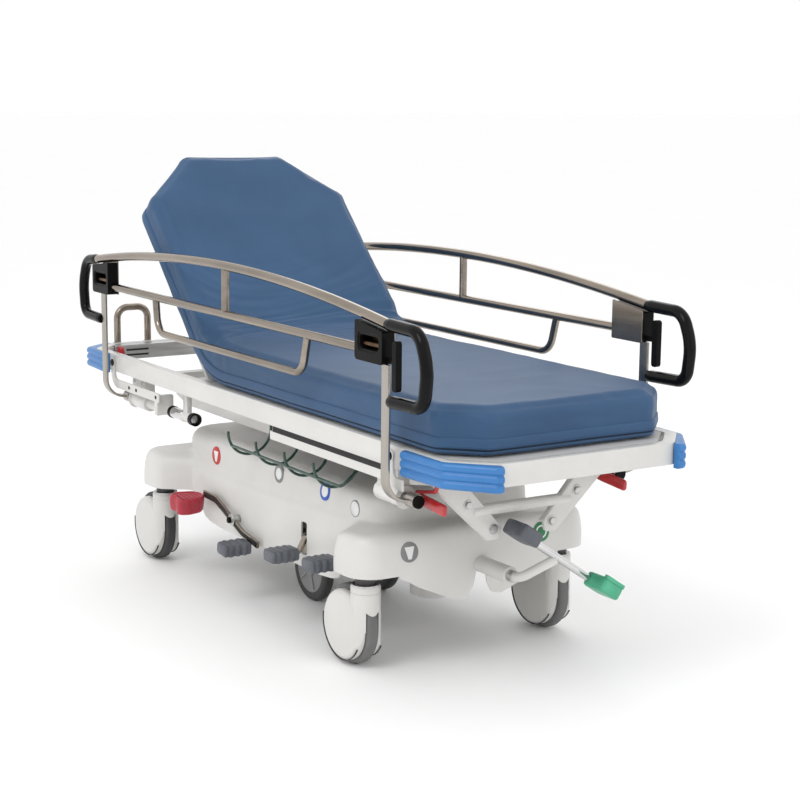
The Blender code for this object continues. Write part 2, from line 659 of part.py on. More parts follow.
def foot_bracket(white_paint):
    """The splayed hanger under the foot end: two arms and a cross tube."""
    thickness = 0.008
    x = BRACKET_X
    arm = [(0.306, LITTER_LOW - GAP), (0.205, LITTER_LOW - GAP), (0.150, 0.472), (0.062, 0.376),
           (0.066, 0.350), (0.098, 0.349), (0.240, 0.480)]
    plate = fillet(arm, [0, 0, 0.02, 0.01, 0.01, 0.01, 0.03], 2, closed=True)
    bracket = add_object("foot_bracket", extrude(plate, "X", x - thickness / 2, x + thickness / 2),
                         white_paint)
    mirror = [(-p[0], p[1]) for p in plate]
    return join(bracket, extrude(mirror, "X", x - thickness / 2, x + thickness / 2),
                cylinder("Y", (x - 0.006, 0.423), 0.014, -0.142, 0.142, 16))


def bottle_cradle(green_wire):
    """Four hooked hoops for an oxygen cylinder, hung under the near side of the litter."""
    wire = 0.0038
    centre_y, centre_z, radius = -0.264, 0.478, 0.065
    hoops = []
    for x in CRADLE_HOOPS:
        arc = [(x, centre_y + radius * math.cos(a), centre_z + radius * math.sin(a))
               for a in [-math.pi * k / 10 for k in range(11)]]
        path = [(x, centre_y + radius, LITTER_LOW - 0.006)] + arc
        hoops.append(tube(path, wire, 6, (1, 0, 0)))
    low_angle = math.radians(214)
    low_y = centre_y + radius * math.cos(low_angle)
    low_z = centre_z + radius * math.sin(low_angle)
    cradle = add_object("bottle_cradle", tube([(-0.084, centre_y + radius, LITTER_LOW - 0.006),
                                               (0.480, centre_y + radius, LITTER_LOW - 0.006)], wire, 6),
                        green_wire)
    end_loop = fillet([(-0.084, low_y, low_z), (0.500, low_y, low_z), (0.500, centre_y, 0.500),
                       (0.478, centre_y + radius, LITTER_LOW - 0.006)], [0, 0.012, 0.02, 0], 3)
    return smooth(join(cradle, tube(end_loop, wire, 6), *hoops), 60)


def push_handle(name, side, steel):
    """A fold-down push handle at the head end: an upright loop on a hinge rod."""
    x, z = PUSH_HANDLE_X, PUSH_HANDLE_Z
    inner, outer = side * 0.116, side * 0.220
    path = fillet([(x, inner, z), (x, inner, 0.702), (x, outer, 0.702), (x, outer, z)],
                  [0, 0.035, 0.035, 0], 5)
    handle = add_object(name, tube(path, 0.011, 10, (1, 0, 0)), steel, (x, 0, z))
    return smooth(join(handle, cylinder("Y", (x, z), 0.0115, min(inner, outer) - 0.014,
                                       max(inner, outer) + 0.014, 16)))


def release_handle(name, side, red):
    """A bent wire lever under a foot corner, squeezed to free the litter's tilt."""
    y = side * RELEASE_Y
    x, z = RELEASE_PIVOT
    path = fillet([(x, y, z), (x, y, 0.490), (x - 0.082, y, 0.474), (x - 0.080, y, 0.462),
                   (x + 0.036, y, 0.452)], [0, 0.012, 0.004, 0.004, 0], 3)
    handle = add_object(name, tube(path, 0.0050, 6, (0, 1, 0)), red, (x, y, z))
    grip = [(x - 0.070, y, 0.4610), (x + 0.036, y, 0.452)]
    return smooth(join(handle, tube(grip, 0.0080, 8, (0, 1, 0)),
                       cylinder("Y", (x, z), 0.007, y - 0.013, y + 0.013, 10)), 50)


# ---------------------------------------------------------------- backrest and mattress


def chamfered_plan(root, length, half_width, chamfer):
    """A panel's plan with its two far corners cut off; it runs to -X from root."""
    tip = root - length
    return [(root, -half_width), (root, half_width), (tip + chamfer, half_width),
            (tip, half_width - chamfer), (tip, -half_width + chamfer), (tip + chamfer, -half_width)]


def raise_backrest(obj):
    obj.rotation_euler = (0, BACK_ANGLE, 0)
    return obj


def backrest_panel(grey_panel):
    origin = (HINGE_X, 0, HINGE_Z)
    width = LITTER_HALF_WIDTH - RAIL_SECTION - 0.004
    plan = chamfered_plan(HINGE_X - 0.004, BACK_LENGTH - 0.020, width, 0.150)
    low = LITTER_TOP - DECK_THICKNESS
    panel = add_object("backrest_panel", extrude(plan, "Z", low, LITTER_TOP), grey_panel, origin)
    join(panel, cylinder("Y", (HINGE_X, HINGE_Z), 0.0068, -width, width, 12))
    for side in SIDES.values():
        y = side * 0.20
        join(panel, box((HINGE_X - 0.62, y - 0.012, low - 0.012), (HINGE_X - 0.05, y + 0.012, low + 0.002)))
    return raise_backrest(panel)


def mattress_back(blue_fabric):
    """The upper half of the mattress, mitred so that it clears the seat at full rise."""
    low = LITTER_TOP + 0.0005
    high = low + MATTRESS_THICKNESS
    ease = MATTRESS_EASE
    rings = []
    for z, inset in ((low, ease), (low + ease, 0.0), (high - ease, 0.0), (high, ease)):
        start = HINGE_X - 0.004 - MITRE_SLOPE * (z - HINGE_Z)
        length = BACK_LENGTH - inset - (HINGE_X - start)
        plan = chamfered_plan(start, length, MATTRESS_HALF_WIDTH - inset, HEAD_CHAMFER)
        rings.append([(*p, z) for p in plan])
    back = add_object("mattress_back", skin(rings), blue_fabric, (HINGE_X, 0, HINGE_Z))
    return raise_backrest(back)


def mattress_seat(blue_fabric):
    """The lower part of the mattress, under the hips and legs."""
    low = LITTER_TOP + 0.0005
    high = low + MATTRESS_THICKNESS
    ease = MATTRESS_EASE
    chamfer = FOOT_CHAMFER
    rings = []
    for z, inset in ((low, ease), (low + ease, 0.0), (high - ease, 0.0), (high, ease)):
        start = HINGE_X + 0.004 + MITRE_SLOPE * (z - HINGE_Z)
        foot = MATTRESS_FOOT_X - inset
        width = MATTRESS_HALF_WIDTH - inset
        rings.append([(start, -width, z), (foot - chamfer, -width, z), (foot, -width + chamfer, z),
                      (foot, width - chamfer, z), (foot - chamfer, width, z), (start, width, z)])
    return add_object("mattress_seat", skin(rings), blue_fabric)


# ---------------------------------------------------------------- side rails


def arch_height(x):
    return ARCH_TOP - ARCH_DROP * ((x - ARCH_CENTRE) / ARCH_REACH) ** 2


def rail_frame(name, y, origin, steel):
    """The bent top tube, the middle tube, its short post and the drop loop."""
    start, end = -0.840, 0.796
    steps = 12
    top = [(start + (end - start) * k / steps, y, 0) for k in range(steps + 1)]
    top = [(x, y, arch_height(x)) for x, _, _ in top]
    frame = add_object(name, tube(top, RAIL_TUBE, 10, (0, 1, 0)), steel, origin)
    drop = fillet([(-0.432, y, MID_TUBE_Z), (-0.418, y, LOWER_TUBE_Z), (0.408, y, LOWER_TUBE_Z),
                   (0.436, y, MID_TUBE_Z)], [0, 0.045, 0.045, 0], 5)
    return smooth(join(frame, tube([(-0.7285, y, MID_TUBE_Z), (0.6805, y, MID_TUBE_Z)], RAIL_TUBE * 0.9,
                                   10, (0, 1, 0)),
                       tube([(0, y, MID_TUBE_Z), (0, y, arch_height(0))], RAIL_TUBE * 0.85, 10, (0, 1, 0)),
                       tube(drop, RAIL_TUBE * 0.8, 10, (0, 1, 0))), 50)


def rail_post(name, x, side, origin, steel):
    """A flat strip that drops from a latch housing and curls in to the rail's pivot rod."""
    y = side * RAIL_Y
    pivot_y = side * RAIL_PIVOT_Y
    path = fillet([(x, y, HOUSING_LOW - GAP), (x, y, 0.478), (x, pivot_y, RAIL_PIVOT_Z)],
                  [0, 0.055, 0], 5)
    post = add_object(name, strip(path, 0.008, 0.030, (1, 0, 0)), steel, origin)
    toward = -1 if x > 0 else 1
    rod = sorted((x - toward * 0.017, x + toward * 0.150))
    return smooth(join(post, cylinder("X", (pivot_y, RAIL_PIVOT_Z), 0.0105, *rod, 16),
                       cylinder("X", (pivot_y, RAIL_PIVOT_Z), 0.018, x - 0.017, x + 0.017, 20)))


def latch_housing(name, x_low, x_high, side, origin, black):
    """The latch's black case under the top tube, with a blind finger slot in its outer face."""
    depth = 0.018
    y = side * RAIL_Y
    top_low, top_high = (arch_height(x) - 0.0158 for x in (x_low, x_high))
    face = fillet([(x_low, HOUSING_LOW), (x_high, HOUSING_LOW), (x_high, top_high), (x_low, top_low)],
                  0.008, 2, closed=True)
    case = add_object(name, extrude(face, "Y", y - depth, y + depth), black, origin)
    middle = (x_low + x_high) / 2
    slot = fillet([(middle - 0.040, 0.814), (middle + 0.040, 0.814), (middle + 0.040, 0.846),
                   (middle - 0.040, 0.846)], 0.010, 2, closed=True)
    outside, back = side * (RAIL_Y + 0.03), side * (RAIL_Y - depth + 0.004)
    return cut(case, extrude(slot, "Y", min(outside, back), max(outside, back)))


def rail_grip(name, end, y, origin, black):
    """The padded loop beyond each end of the rail."""
    radius = 0.015
    top_x, post_face = (0.7985, 0.8090) if end > 0 else (0.8425, 0.8190)
    points = [(top_x, arch_height(end * top_x)), (0.930, 0.868), (0.969, 0.800), (0.932, 0.703),
              (0.900, 0.694), (post_face, 0.7045)]
    path = fillet([(end * x, y, z) for x, z in points], [0, 0.040, 0.060, 0.020, 0.060, 0], 3)
    return smooth(add_object(name, tube(path, radius, 8, (0, 1, 0)), black, origin), 60)


def rail_trigger(name, y, black):
    """The squeeze bar inside the foot-end loop, which frees the rail."""
    x, low, high = 0.834, 0.730, 0.845
    face = fillet([(x - 0.010, low), (x + 0.010, low), (x + 0.010, high), (x - 0.010, high)],
                  0.006, 2, closed=True)
    bar = add_object(name, extrude(face, "Y", y - 0.008, y + 0.008), black, (x, y, (low + high) / 2))
    return join(bar, box((0.8005, y - 0.005, 0.790), (x, y + 0.005, 0.802)))


def side_rail(side_name, side, steel, black):
    y = side * RAIL_Y
    origin = (0, side * RAIL_PIVOT_Y, RAIL_PIVOT_Z)
    rail_frame(f"{side_name}_rail_frame", y, origin, steel)
    for end_name, x in RAIL_POSTS.items():
        rail_post(f"{side_name}_{end_name}_post", x, side, origin, steel)
    latch_housing(f"{side_name}_head_latch", -0.845, -0.729, side, origin, black)
    latch_housing(f"{side_name}_foot_latch", 0.681, 0.800, side, origin, black)
    for end_name, end in ENDS.items():
        rail_grip(f"{side_name}_{end_name}_grip", end, y, origin, black)
    rail_trigger(f"{side_name}_rail_trigger", y, black)


# ---------------------------------------------------------------- assembly


def build():
    for obj in list(bpy.data.objects):
        bpy.data.objects.remove(obj)

    white_paint = make_material("white_paint", (0.72, 0.72, 0.68), 0.35)
    white_plastic = make_material("white_plastic", (0.74, 0.74, 0.70), 0.45)
    frame_steel = make_material("frame_steel", (0.25, 0.25, 0.26), 0.5, 0.6)
    stainless = make_material("stainless", (0.48, 0.43, 0.38), 0.25, 1.0)
    chrome = make_material("chrome", (0.75, 0.75, 0.76), 0.1, 1.0)
    tyre = make_material("tyre", (0.10, 0.10, 0.105), 0.7)
    black = make_material("black_grip", (0.02, 0.02, 0.02), 0.4)
    grey_pad = make_material("grey_pad", (0.11, 0.12, 0.14), 0.55)
    red_pad = make_material("red_pad", (0.42, 0.03, 0.05), 0.4)
    green_pad = make_material("green_pad", (0.08, 0.48, 0.24), 0.45)
    green_wire = make_material("green_wire", (0.01, 0.06, 0.035), 0.35)
    blue_bumper = make_material("blue_bumper", (0.05, 0.22, 0.60), 0.4)
    blue_fabric = make_material("blue_fabric", (0.04, 0.09, 0.18), 0.7)
    grey_panel = make_material("grey_panel", (0.55, 0.56, 0.56), 0.5)

    base_frame(frame_steel)
    base_shroud(white_plastic)
    for end in ENDS:
        column_cylinder(end, frame_steel)
    foot_pedal_sleeve(white_paint)

    for end_name, end in ENDS.items():
        for side_name, side in SIDES.items():
            place_name = f"{side_name}_{end_name}"
            x, y = end * CASTER_X, side * CASTER_Y
            caster_fork(f"caster_fork_{place_name}", x, y, white_plastic)
            wheel(f"caster_wheel_{place_name}", (x - CASTER_TRAIL, y, WHEEL_RADIUS),
                  WHEEL_RADIUS, TYRE_WIDTH, CASTER_AXLE_RADIUS + 0.0006, tyre)
    steering_arm(frame_steel)
    for side_name, side in SIDES.items():
        wheel(f"steering_wheel_{side_name}", (0, side * STEER_Y, STEER_RADIUS),
              STEER_RADIUS, STEER_WIDTH, STEER_AXLE_RADIUS + 0.0006, tyre, 22)

    side_pedals(stainless, red_pad, grey_pad)
    foot_rocker(chrome, grey_pad, green_pad)

    head_ram(chrome)
    foot_sleeve(chrome)
    foot_ram(chrome)

    litter_frame(white_paint)
    seat_deck(grey_panel)
    for end_name, end in ENDS.items():
        for side_name, side in SIDES.items():
            corner_bumper(f"bumper_{side_name}_{end_name}", end, side, blue_bumper)
    foot_bracket(white_paint)
    bottle_cradle(green_wire)
    for side_name, side in SIDES.items():
        push_handle(f"push_handle_{side_name}", side, stainless)
        release_handle(f"release_handle_{side_name}", side, red_pad)

    backrest_panel(grey_panel)
    mattress_back(blue_fabric)
    mattress_seat(blue_fabric)

    for side_name, side in SIDES.items():
        side_rail(side_name, side, stainless, black)


build()
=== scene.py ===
"""Looks of the hospital stretcher trolley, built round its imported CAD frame. Metres, +Z up, +X to the foot
end; "near" is the -Y side and "far" the +Y side."""

import json
import math

import bmesh
import bpy
import numpy as np
from mathutils import Matrix, Vector, noise
from mathutils.bvhtree import BVHTree

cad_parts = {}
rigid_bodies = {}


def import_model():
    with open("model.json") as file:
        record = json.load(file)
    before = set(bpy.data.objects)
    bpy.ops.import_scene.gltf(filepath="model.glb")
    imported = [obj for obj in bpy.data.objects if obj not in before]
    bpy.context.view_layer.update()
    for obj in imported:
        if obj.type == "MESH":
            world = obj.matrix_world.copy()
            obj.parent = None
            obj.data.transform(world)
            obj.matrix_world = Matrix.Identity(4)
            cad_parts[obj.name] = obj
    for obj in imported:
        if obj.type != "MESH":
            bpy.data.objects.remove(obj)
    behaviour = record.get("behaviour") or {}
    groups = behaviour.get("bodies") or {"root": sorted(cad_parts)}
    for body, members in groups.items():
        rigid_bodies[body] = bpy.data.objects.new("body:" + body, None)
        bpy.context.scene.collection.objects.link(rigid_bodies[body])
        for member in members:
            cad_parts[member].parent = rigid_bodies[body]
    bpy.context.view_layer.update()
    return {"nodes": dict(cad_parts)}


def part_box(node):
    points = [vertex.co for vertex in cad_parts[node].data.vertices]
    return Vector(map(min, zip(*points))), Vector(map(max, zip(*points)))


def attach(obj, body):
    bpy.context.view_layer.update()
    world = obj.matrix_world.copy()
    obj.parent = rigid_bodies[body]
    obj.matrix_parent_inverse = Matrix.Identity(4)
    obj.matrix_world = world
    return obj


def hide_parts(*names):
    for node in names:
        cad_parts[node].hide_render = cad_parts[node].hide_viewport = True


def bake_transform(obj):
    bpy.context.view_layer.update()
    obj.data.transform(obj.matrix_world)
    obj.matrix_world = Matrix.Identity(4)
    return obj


for stray in list(bpy.data.objects):
    bpy.data.objects.remove(stray)
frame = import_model()

SIDES = {"near": -1, "far": 1}
ENDS = {"head": -1, "foot": 1}

# Mattress and backrest.
DECK_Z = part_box("mattress_seat")[0].z
HINGE_X, HINGE_Z = -0.240, 0.586
CORNER_X = HINGE_X + (DECK_Z - HINGE_Z) * math.tan(math.radians(22.5))
BEND_TANGENT = 0.125
BEND_RADIUS = BEND_TANGENT / math.tan(math.radians(22.5))
BEND_START = CORNER_X + BEND_TANGENT
BEND_ARC = BEND_RADIUS * math.radians(45)
MATTRESS_HALF_WIDTH = 0.328
MATTRESS_FOOT_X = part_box("mattress_seat")[1].x
MATTRESS_HEAD_X = BEND_START - BEND_ARC - (0.752 - BEND_TANGENT)
MATTRESS_THICKNESS = 0.110
MATTRESS_VOXEL, SHROUD_VOXEL = 0.009, 0.0065
MOST_SWELLING, MOST_SHRINKING = 0.010, 0.0005
CLOTH_FRAMES = 20
HEAD_CHAMFER = 0.165
FOOT_CHAMFER = 0.090

# Litter.
LITTER_LOW = 0.541
BUMPER_LOW, BUMPER_HIGH = 0.533, 0.592
CRADLE_WIRE, CRADLE_RADIUS = 0.0038, 0.065
CRADLE_Y, CRADLE_Z = -0.264, 0.478
HANDLE_X, HANDLE_Z = -1.066, 0.567

# Side rails.
RAIL_Y = 0.375
RAIL_TUBE = 0.0125
RAIL_PIVOT_Y, RAIL_PIVOT_Z = 0.296, 0.465
ARCH_TOP, ARCH_CENTRE, ARCH_DROP, ARCH_REACH = 0.937, -0.040, 0.060, 0.840
MID_TUBE_Z, LOWER_TUBE_Z = 0.810, 0.711
HOUSING_LOW = 0.786
POST_X = {"head": -0.800, "foot": 0.790}

# Base.
CASTER_X, CASTER_Y, CASTER_TRAIL = 0.570, 0.290, 0.058
WHEEL_RADIUS, COVER_RADIUS, NECK_RADIUS, TYRE_WIDTH = 0.100, 0.088, 0.037, 0.032
COLUMN_X = 0.420
PEDAL_X = {"pump": 0.205, "release": 0.405}
PEDAL_SLOT = {"pump": (0.196, 0.283), "release": (0.215, 0.290)}
PEDAL_Z = {"pump": 0.205, "release": 0.228}
BRAKE_PIVOT = Vector((-0.165, -0.270, 0.212))
ROCKER_X, ROCKER_Z = 0.832, 0.240


# ---------------------------------------------------------------- materials


def node(tree, kind, **values):
    """A shader node with its input sockets set by name and its own settings by attribute."""
    made = tree.nodes.new(kind)
    for key, value in values.items():
        if key in made.inputs:
            made.inputs[key].default_value = value
        else:
            setattr(made, key, value)
    return made


def surface(name, dark, light, roughness, metallic=0.0, patch=4.0, grain=300.0, bump=0.05, stretch=(1, 1, 1),
            rough_spread=0.08, **shader_values):
    """A Principled material whose colour and roughness drift in soft patches over a fine grain."""
    material = bpy.data.materials.new(name)
    material.use_nodes = True
    tree = material.node_tree
    shader = tree.nodes["Principled BSDF"]
    shader.inputs["Metallic"].default_value = metallic
    for key, value in shader_values.items():
        shader.inputs[key.replace("_", " ")].default_value = value
    place = node(tree, "ShaderNodeTexCoord")
    mapping = node(tree, "ShaderNodeMapping", Scale=stretch)
    patches = node(tree, "ShaderNodeTexNoise", Scale=patch, Detail=5.0, Roughness=0.6)
    grains = node(tree, "ShaderNodeTexNoise", Scale=grain, Detail=2.0)
    ramp = node(tree, "ShaderNodeValToRGB")
    ramp.color_ramp.elements[0].position, ramp.color_ramp.elements[1].position = 0.3, 0.7
    ramp.color_ramp.elements[0].color = (*dark, 1)
    ramp.color_ramp.elements[1].color = (*light, 1)
    rough = node(tree, "ShaderNodeMapRange")
    rough.inputs["To Min"].default_value = max(0.02, roughness - rough_spread)
    rough.inputs["To Max"].default_value = min(1.0, roughness + rough_spread)
    relief = node(tree, "ShaderNodeBump", Strength=bump, Distance=0.001)
    link = tree.links.new
    link(place.outputs["Object"], mapping.inputs["Vector"])
    link(mapping.outputs["Vector"], patches.inputs["Vector"])
    link(mapping.outputs["Vector"], grains.inputs["Vector"])
    link(patches.outputs["Fac"], ramp.inputs["Fac"])
    link(ramp.outputs["Color"], shader.inputs["Base Color"])
    link(grains.outputs["Fac"], rough.inputs["Value"])
    link(rough.outputs["Result"], shader.inputs["Roughness"])
    link(grains.outputs["Fac"], relief.inputs["Height"])
    link(relief.outputs["Normal"], shader.inputs["Normal"])
    return material


def shade(level, tint=(1.0, 1.0, 1.0)):
    """A colour of the given brightness."""
    return tuple(level * t for t in tint)


def coated_fabric(name, dark, light):
    """Coated mattress ticking: a fine crossed weave under a thin satin film, with soft wear patches."""
    material = surface(name, dark, light, 0.52, patch=2.2, grain=900.0, bump=0.10, rough_spread=0.05,
                       Sheen_Weight=0.06, Sheen_Roughness=0.5, Specular_IOR_Level=0.30)
    tree = material.node_tree
    place = next(n for n in tree.nodes if n.type == "TEX_COORD")
    relief = next(n for n in tree.nodes if n.type == "BUMP")
    threads = []
    for direction in ("X", "Y"):
        wave = node(tree, "ShaderNodeTexWave", Scale=260.0, Distortion=0.6)
        wave.bands_direction = direction
        tree.links.new(place.outputs["Object"], wave.inputs["Vector"])
        threads.append(wave)
    cross = node(tree, "ShaderNodeMath", operation="ADD")
    tree.links.new(threads[0].outputs["Fac"], cross.inputs[0])
    tree.links.new(threads[1].outputs["Fac"], cross.inputs[1])
    tree.links.new(cross.outputs[0], relief.inputs["Height"])
    return material


WARM = (1.0, 0.985, 0.95)
STEEL = (1.0, 0.93, 0.84)
# A warm tint painted into the stainless steel's colour as a reflection of brownish surroundings.
REFLECTED_WARM_TINT = (1.0, 0.86, 0.72)
M = {
    "fabric": coated_fabric("mattress_fabric", (0.027, 0.074, 0.160), (0.038, 0.101, 0.210)),
    # Zip: dark blue zip tape, darkened further as painted shade of the gap under the flap.
    "zip": surface("zip_tape_and_painted_shade", (0.010, 0.022, 0.046), (0.016, 0.034, 0.070), 0.8, grain=1500.0, bump=0.4),
    "plastic": surface("white_moulding", shade(0.61, WARM), shade(0.68, WARM), 0.38, patch=3.0, grain=700.0,
                       bump=0.03, Specular_IOR_Level=0.45),
    "paint": surface("white_powder_coat", shade(0.62, WARM), shade(0.70, WARM), 0.32, patch=5.0, grain=1100.0,
                     bump=0.06, Coat_Weight=0.25, Coat_Roughness=0.2),
    # Stainless: its darkened warm colour and the light and dark streaks along X are painted reflections, not
    # the steel's own colour.
    "stainless": surface("stainless_painted_reflection", shade(0.23, REFLECTED_WARM_TINT), shade(0.36, REFLECTED_WARM_TINT), 0.14, 1.0, patch=3.0,
                         grain=60.0, bump=0.01, stretch=(1, 10, 10), rough_spread=0.05),
    "upright": surface("brushed_upright", shade(0.32, STEEL), shade(0.45, STEEL), 0.24, 1.0, patch=3.0,
                       grain=60.0, bump=0.01, stretch=(10, 10, 1), rough_spread=0.05),
    "bronze": surface("worn_bronze", (0.060, 0.030, 0.014), (0.160, 0.090, 0.045), 0.30, 1.0, patch=30.0,
                      grain=200.0, bump=0.05),
    "chrome": surface("chrome_plate", shade(0.62), shade(0.74), 0.10, 1.0, patch=9.0, grain=80.0, bump=0.01,
                      rough_spread=0.05),
    "aluminium": surface("brushed_channel", shade(0.42), shade(0.58), 0.35, 1.0, patch=6.0, grain=70.0,
                         bump=0.02, stretch=(14, 1, 14)),
    "zinc": surface("zinc_bolt", shade(0.45), shade(0.62, (1, 1, 0.97)), 0.30, 1.0, patch=60.0, grain=500.0,
                    bump=0.05),
    "frame": surface("dark_frame_paint", shade(0.055), shade(0.075), 0.45, patch=8.0, grain=700.0, bump=0.08),
    "tyre": surface("grey_tyre", shade(0.125), shade(0.165), 0.62, patch=10.0, grain=450.0, bump=0.15),
    "dark_tyre": surface("dark_tyre", shade(0.035), shade(0.055), 0.60, patch=10.0, grain=450.0, bump=0.15),
    "hub": surface("grey_hub", shade(0.22), shade(0.28), 0.42, patch=12.0, grain=500.0, bump=0.06),
    "black": surface("black_moulding", shade(0.004), shade(0.007), 0.28, patch=14.0, grain=900.0, bump=0.06,
                     Specular_IOR_Level=0.08),
    "grip": surface("black_vinyl_grip", shade(0.003), shade(0.006), 0.12, patch=9.0, grain=500.0, bump=0.02,
                    rough_spread=0.04, Specular_IOR_Level=0.14),
    "pad": surface("grey_pedal_rubber", (0.075, 0.082, 0.098), (0.115, 0.125, 0.145), 0.46, patch=22.0,
                   grain=700.0, bump=0.12),
    "red": surface("red_pedal", (0.36, 0.018, 0.035), (0.50, 0.035, 0.060), 0.36, patch=16.0, grain=600.0,
                   bump=0.06),
    "red_grip": surface("red_dipped_lever", (0.42, 0.010, 0.014), (0.58, 0.022, 0.028), 0.24, patch=20.0,
                        grain=500.0, bump=0.03, Coat_Weight=0.5, Coat_Roughness=0.15),
    "green": surface("green_pedal", (0.055, 0.36, 0.20), (0.095, 0.50, 0.30), 0.36, patch=16.0, grain=600.0,
                     bump=0.05),
    "wire": surface("green_dipped_wire", (0.004, 0.036, 0.024), (0.008, 0.062, 0.040), 0.26, patch=14.0,
                    grain=400.0, bump=0.03, Coat_Weight=0.5, Coat_Roughness=0.15),
    "bumper": surface("blue_bumper", (0.026, 0.155, 0.41), (0.042, 0.205, 0.52), 0.34, patch=7.0, grain=600.0,
                      bump=0.05),
    "panel": surface("light_grey_panel", shade(0.42), shade(0.50), 0.45, patch=4.0, grain=800.0, bump=0.06),
    # Near-black painted shade laid as thin strips inside channels, slots and grooves.
    "painted_shade": surface("painted_recess_shade", shade(0.010), shade(0.018), 0.7, patch=12.0, grain=500.0, bump=0.1),
}
MARK_COLOURS = {
    "mark_red": ((0.46, 0.018, 0.020), (0.54, 0.030, 0.030)),
    "mark_grey": (shade(0.18), shade(0.23)),
    "mark_blue": ((0.010, 0.07, 0.40), (0.020, 0.10, 0.50)),
    "mark_white": (shade(0.72), shade(0.80)),
    "mark_green": ((0.010, 0.16, 0.05), (0.02, 0.22, 0.08)),
}
for mark, (dark, light) in MARK_COLOURS.items():
    M[mark] = surface(mark, dark, light, 0.4, patch=30.0, bump=0.02)


# ---------------------------------------------------------------- mesh tools


def circle(radius, sides, centre=(0.0, 0.0)):
    """The corners of a regular outline."""
    turns = [2 * math.pi * i / sides for i in range(sides)]
    return [(centre[0] + radius * math.cos(a), centre[1] + radius * math.sin(a)) for a in turns]


def fillet(points, radii, steps=6, closed=False):
    """The polyline or polygon with each corner turned into an arc of its own radius."""
    points = [Vector(p) for p in points]
    count = len(points)
    result = []
    for i, corner in enumerate(points):
        radius = radii if isinstance(radii, (int, float)) else radii[i]
        if radius == 0 or (not closed and i in (0, count - 1)):
            result.append(corner.copy())
            continue
        to_last = (points[i - 1] - corner).normalized()
        to_next = (points[(i + 1) % count] - corner).normalized()
        half = to_last.angle(to_next) / 2
        if half > math.radians(89):
            result.append(corner.copy())
            continue
        centre = corner + (to_last + to_next).normalized() * (radius / math.sin(half))
        start = corner + to_last * (radius / math.tan(half)) - centre
        end = corner + to_next * (radius / math.tan(half)) - centre
        whole = start.angle(end)
        for k in range(steps + 1):
            t = k / steps
            result.append(centre + start * (math.sin((1 - t) * whole) / math.sin(whole))
                          + end * (math.sin(t * whole) / math.sin(whole)))
    return result


def even(points, step, closed=False):
    """The polyline read again at an even spacing close to step."""
    pts = np.array([list(p) for p in points], float)
    if closed:
        pts = np.vstack([pts, pts[:1]])
    reach = np.concatenate([[0], np.cumsum(np.linalg.norm(np.diff(pts, axis=0), axis=1))])
    count = max(2, round(reach[-1] / step))
    at = np.linspace(0, reach[-1], count + 1)[:-1 if closed else None]
    return np.stack([np.interp(at, reach, pts[:, k]) for k in range(pts.shape[1])], axis=1)


def skin(rings, loop=False):
    """A mesh through equal rings of points: capped at both ends, or joined end to end."""
    bm = bmesh.new()
    loops = [[bm.verts.new(p) for p in ring] for ring in rings]
    count = len(loops[0])
    pairs = list(zip(loops, loops[1:]))
    if loop:
        pairs.append((loops[-1], loops[0]))
    for low, high in pairs:
        for i in range(count):
            j = (i + 1) % count
            bm.faces.new((low[i], low[j], high[j], high[i]))
    if not loop:
        bm.faces.new(loops[0])
        bm.faces.new(loops[-1])
    bmesh.ops.recalc_face_normals(bm, faces=bm.faces)
    return bm


def extrude(outline, axis, low, high):
    """An outline's solid between two places along an axis."""

    def place(u, v, w):
        return {"X": (w, u, v), "Y": (u, w, v), "Z": (u, v, w)}[axis]

    return skin([[place(p[0], p[1], w) for p in outline] for w in (low, high)])


def box(low, high):
    """A block between two opposite corners."""
    corners = [(low[0], low[1]), (high[0], low[1]), (high[0], high[1]), (low[0], high[1])]
    return extrude(corners, "Z", low[2], high[2])


def cylinder(axis, centre, radius, low, high, sides=32):
    """A rod along an axis; its centre is given in the other two."""
    return extrude(circle(radius, sides, centre), axis, low, high)


def turned(profile, centre, axis="Y", sides=64):
    """A ring or disc turned about an axis: the profile is a closed list of (radius, place along the axis)."""
    rings = []
    for i in range(sides):
        angle = 2 * math.pi * i / sides
        c, s = math.cos(angle), math.sin(angle)
        arm, along = {"X": (Vector((0, c, s)), Vector((1, 0, 0))),
                      "Y": (Vector((c, 0, s)), Vector((0, 1, 0))),
                      "Z": (Vector((c, s, 0)), Vector((0, 0, 1)))}[axis]
        rings.append([Vector(centre) + arm * r + along * w for r, w in profile])
    return skin(rings, loop=True)


def knob(axis, centre, profile, sides=32):
    """A solid of revolution closed at both ends: the profile runs from end to end as (radius, place)."""
    rings = []
    for r, w in profile:
        ring = []
        for u, v in circle(r, sides):
            ring.append({"X": (w, centre[0] + u, centre[1] + v), "Y": (centre[0] + u, w, centre[1] + v),
                         "Z": (centre[0] + u, centre[1] + v, w)}[axis])
        rings.append(ring)
    return skin(rings)


def sweep(path, profile, up=None, loop=False, scales=None):
    """The profile carried along the path; its second axis stays near up where one is given."""
    path = [Vector(p) for p in path]
    count = len(path)
    rings = []
    normal = Vector(up) if up else (path[1] - path[0]).orthogonal().normalized()
    for i, point in enumerate(path):
        after = path[(i + 1) % count] if loop else path[min(i + 1, count - 1)]
        before = path[i - 1] if loop or i else path[0]
        tangent = (after - before).normalized()
        normal = (normal - tangent * normal.dot(tangent)).normalized()
        side = tangent.cross(normal)
        size = scales[i] if scales else 1.0
        rings.append([point + (side * a + normal * b) * size for a, b in profile])
    return skin(rings, loop=loop)


def tube(path, radius, sides=20, up=None, loop=False, scales=None):
    """A round bar along a path."""
    return sweep(path, circle(radius, sides), up, loop, scales)


def flat(points, radii, steps=6, closed=True):
    """A plane outline with its corners rounded, as (u, v) pairs."""
    return [(p.x, p.y) for p in fillet([Vector((*p, 0)) for p in points], radii, steps, closed)]


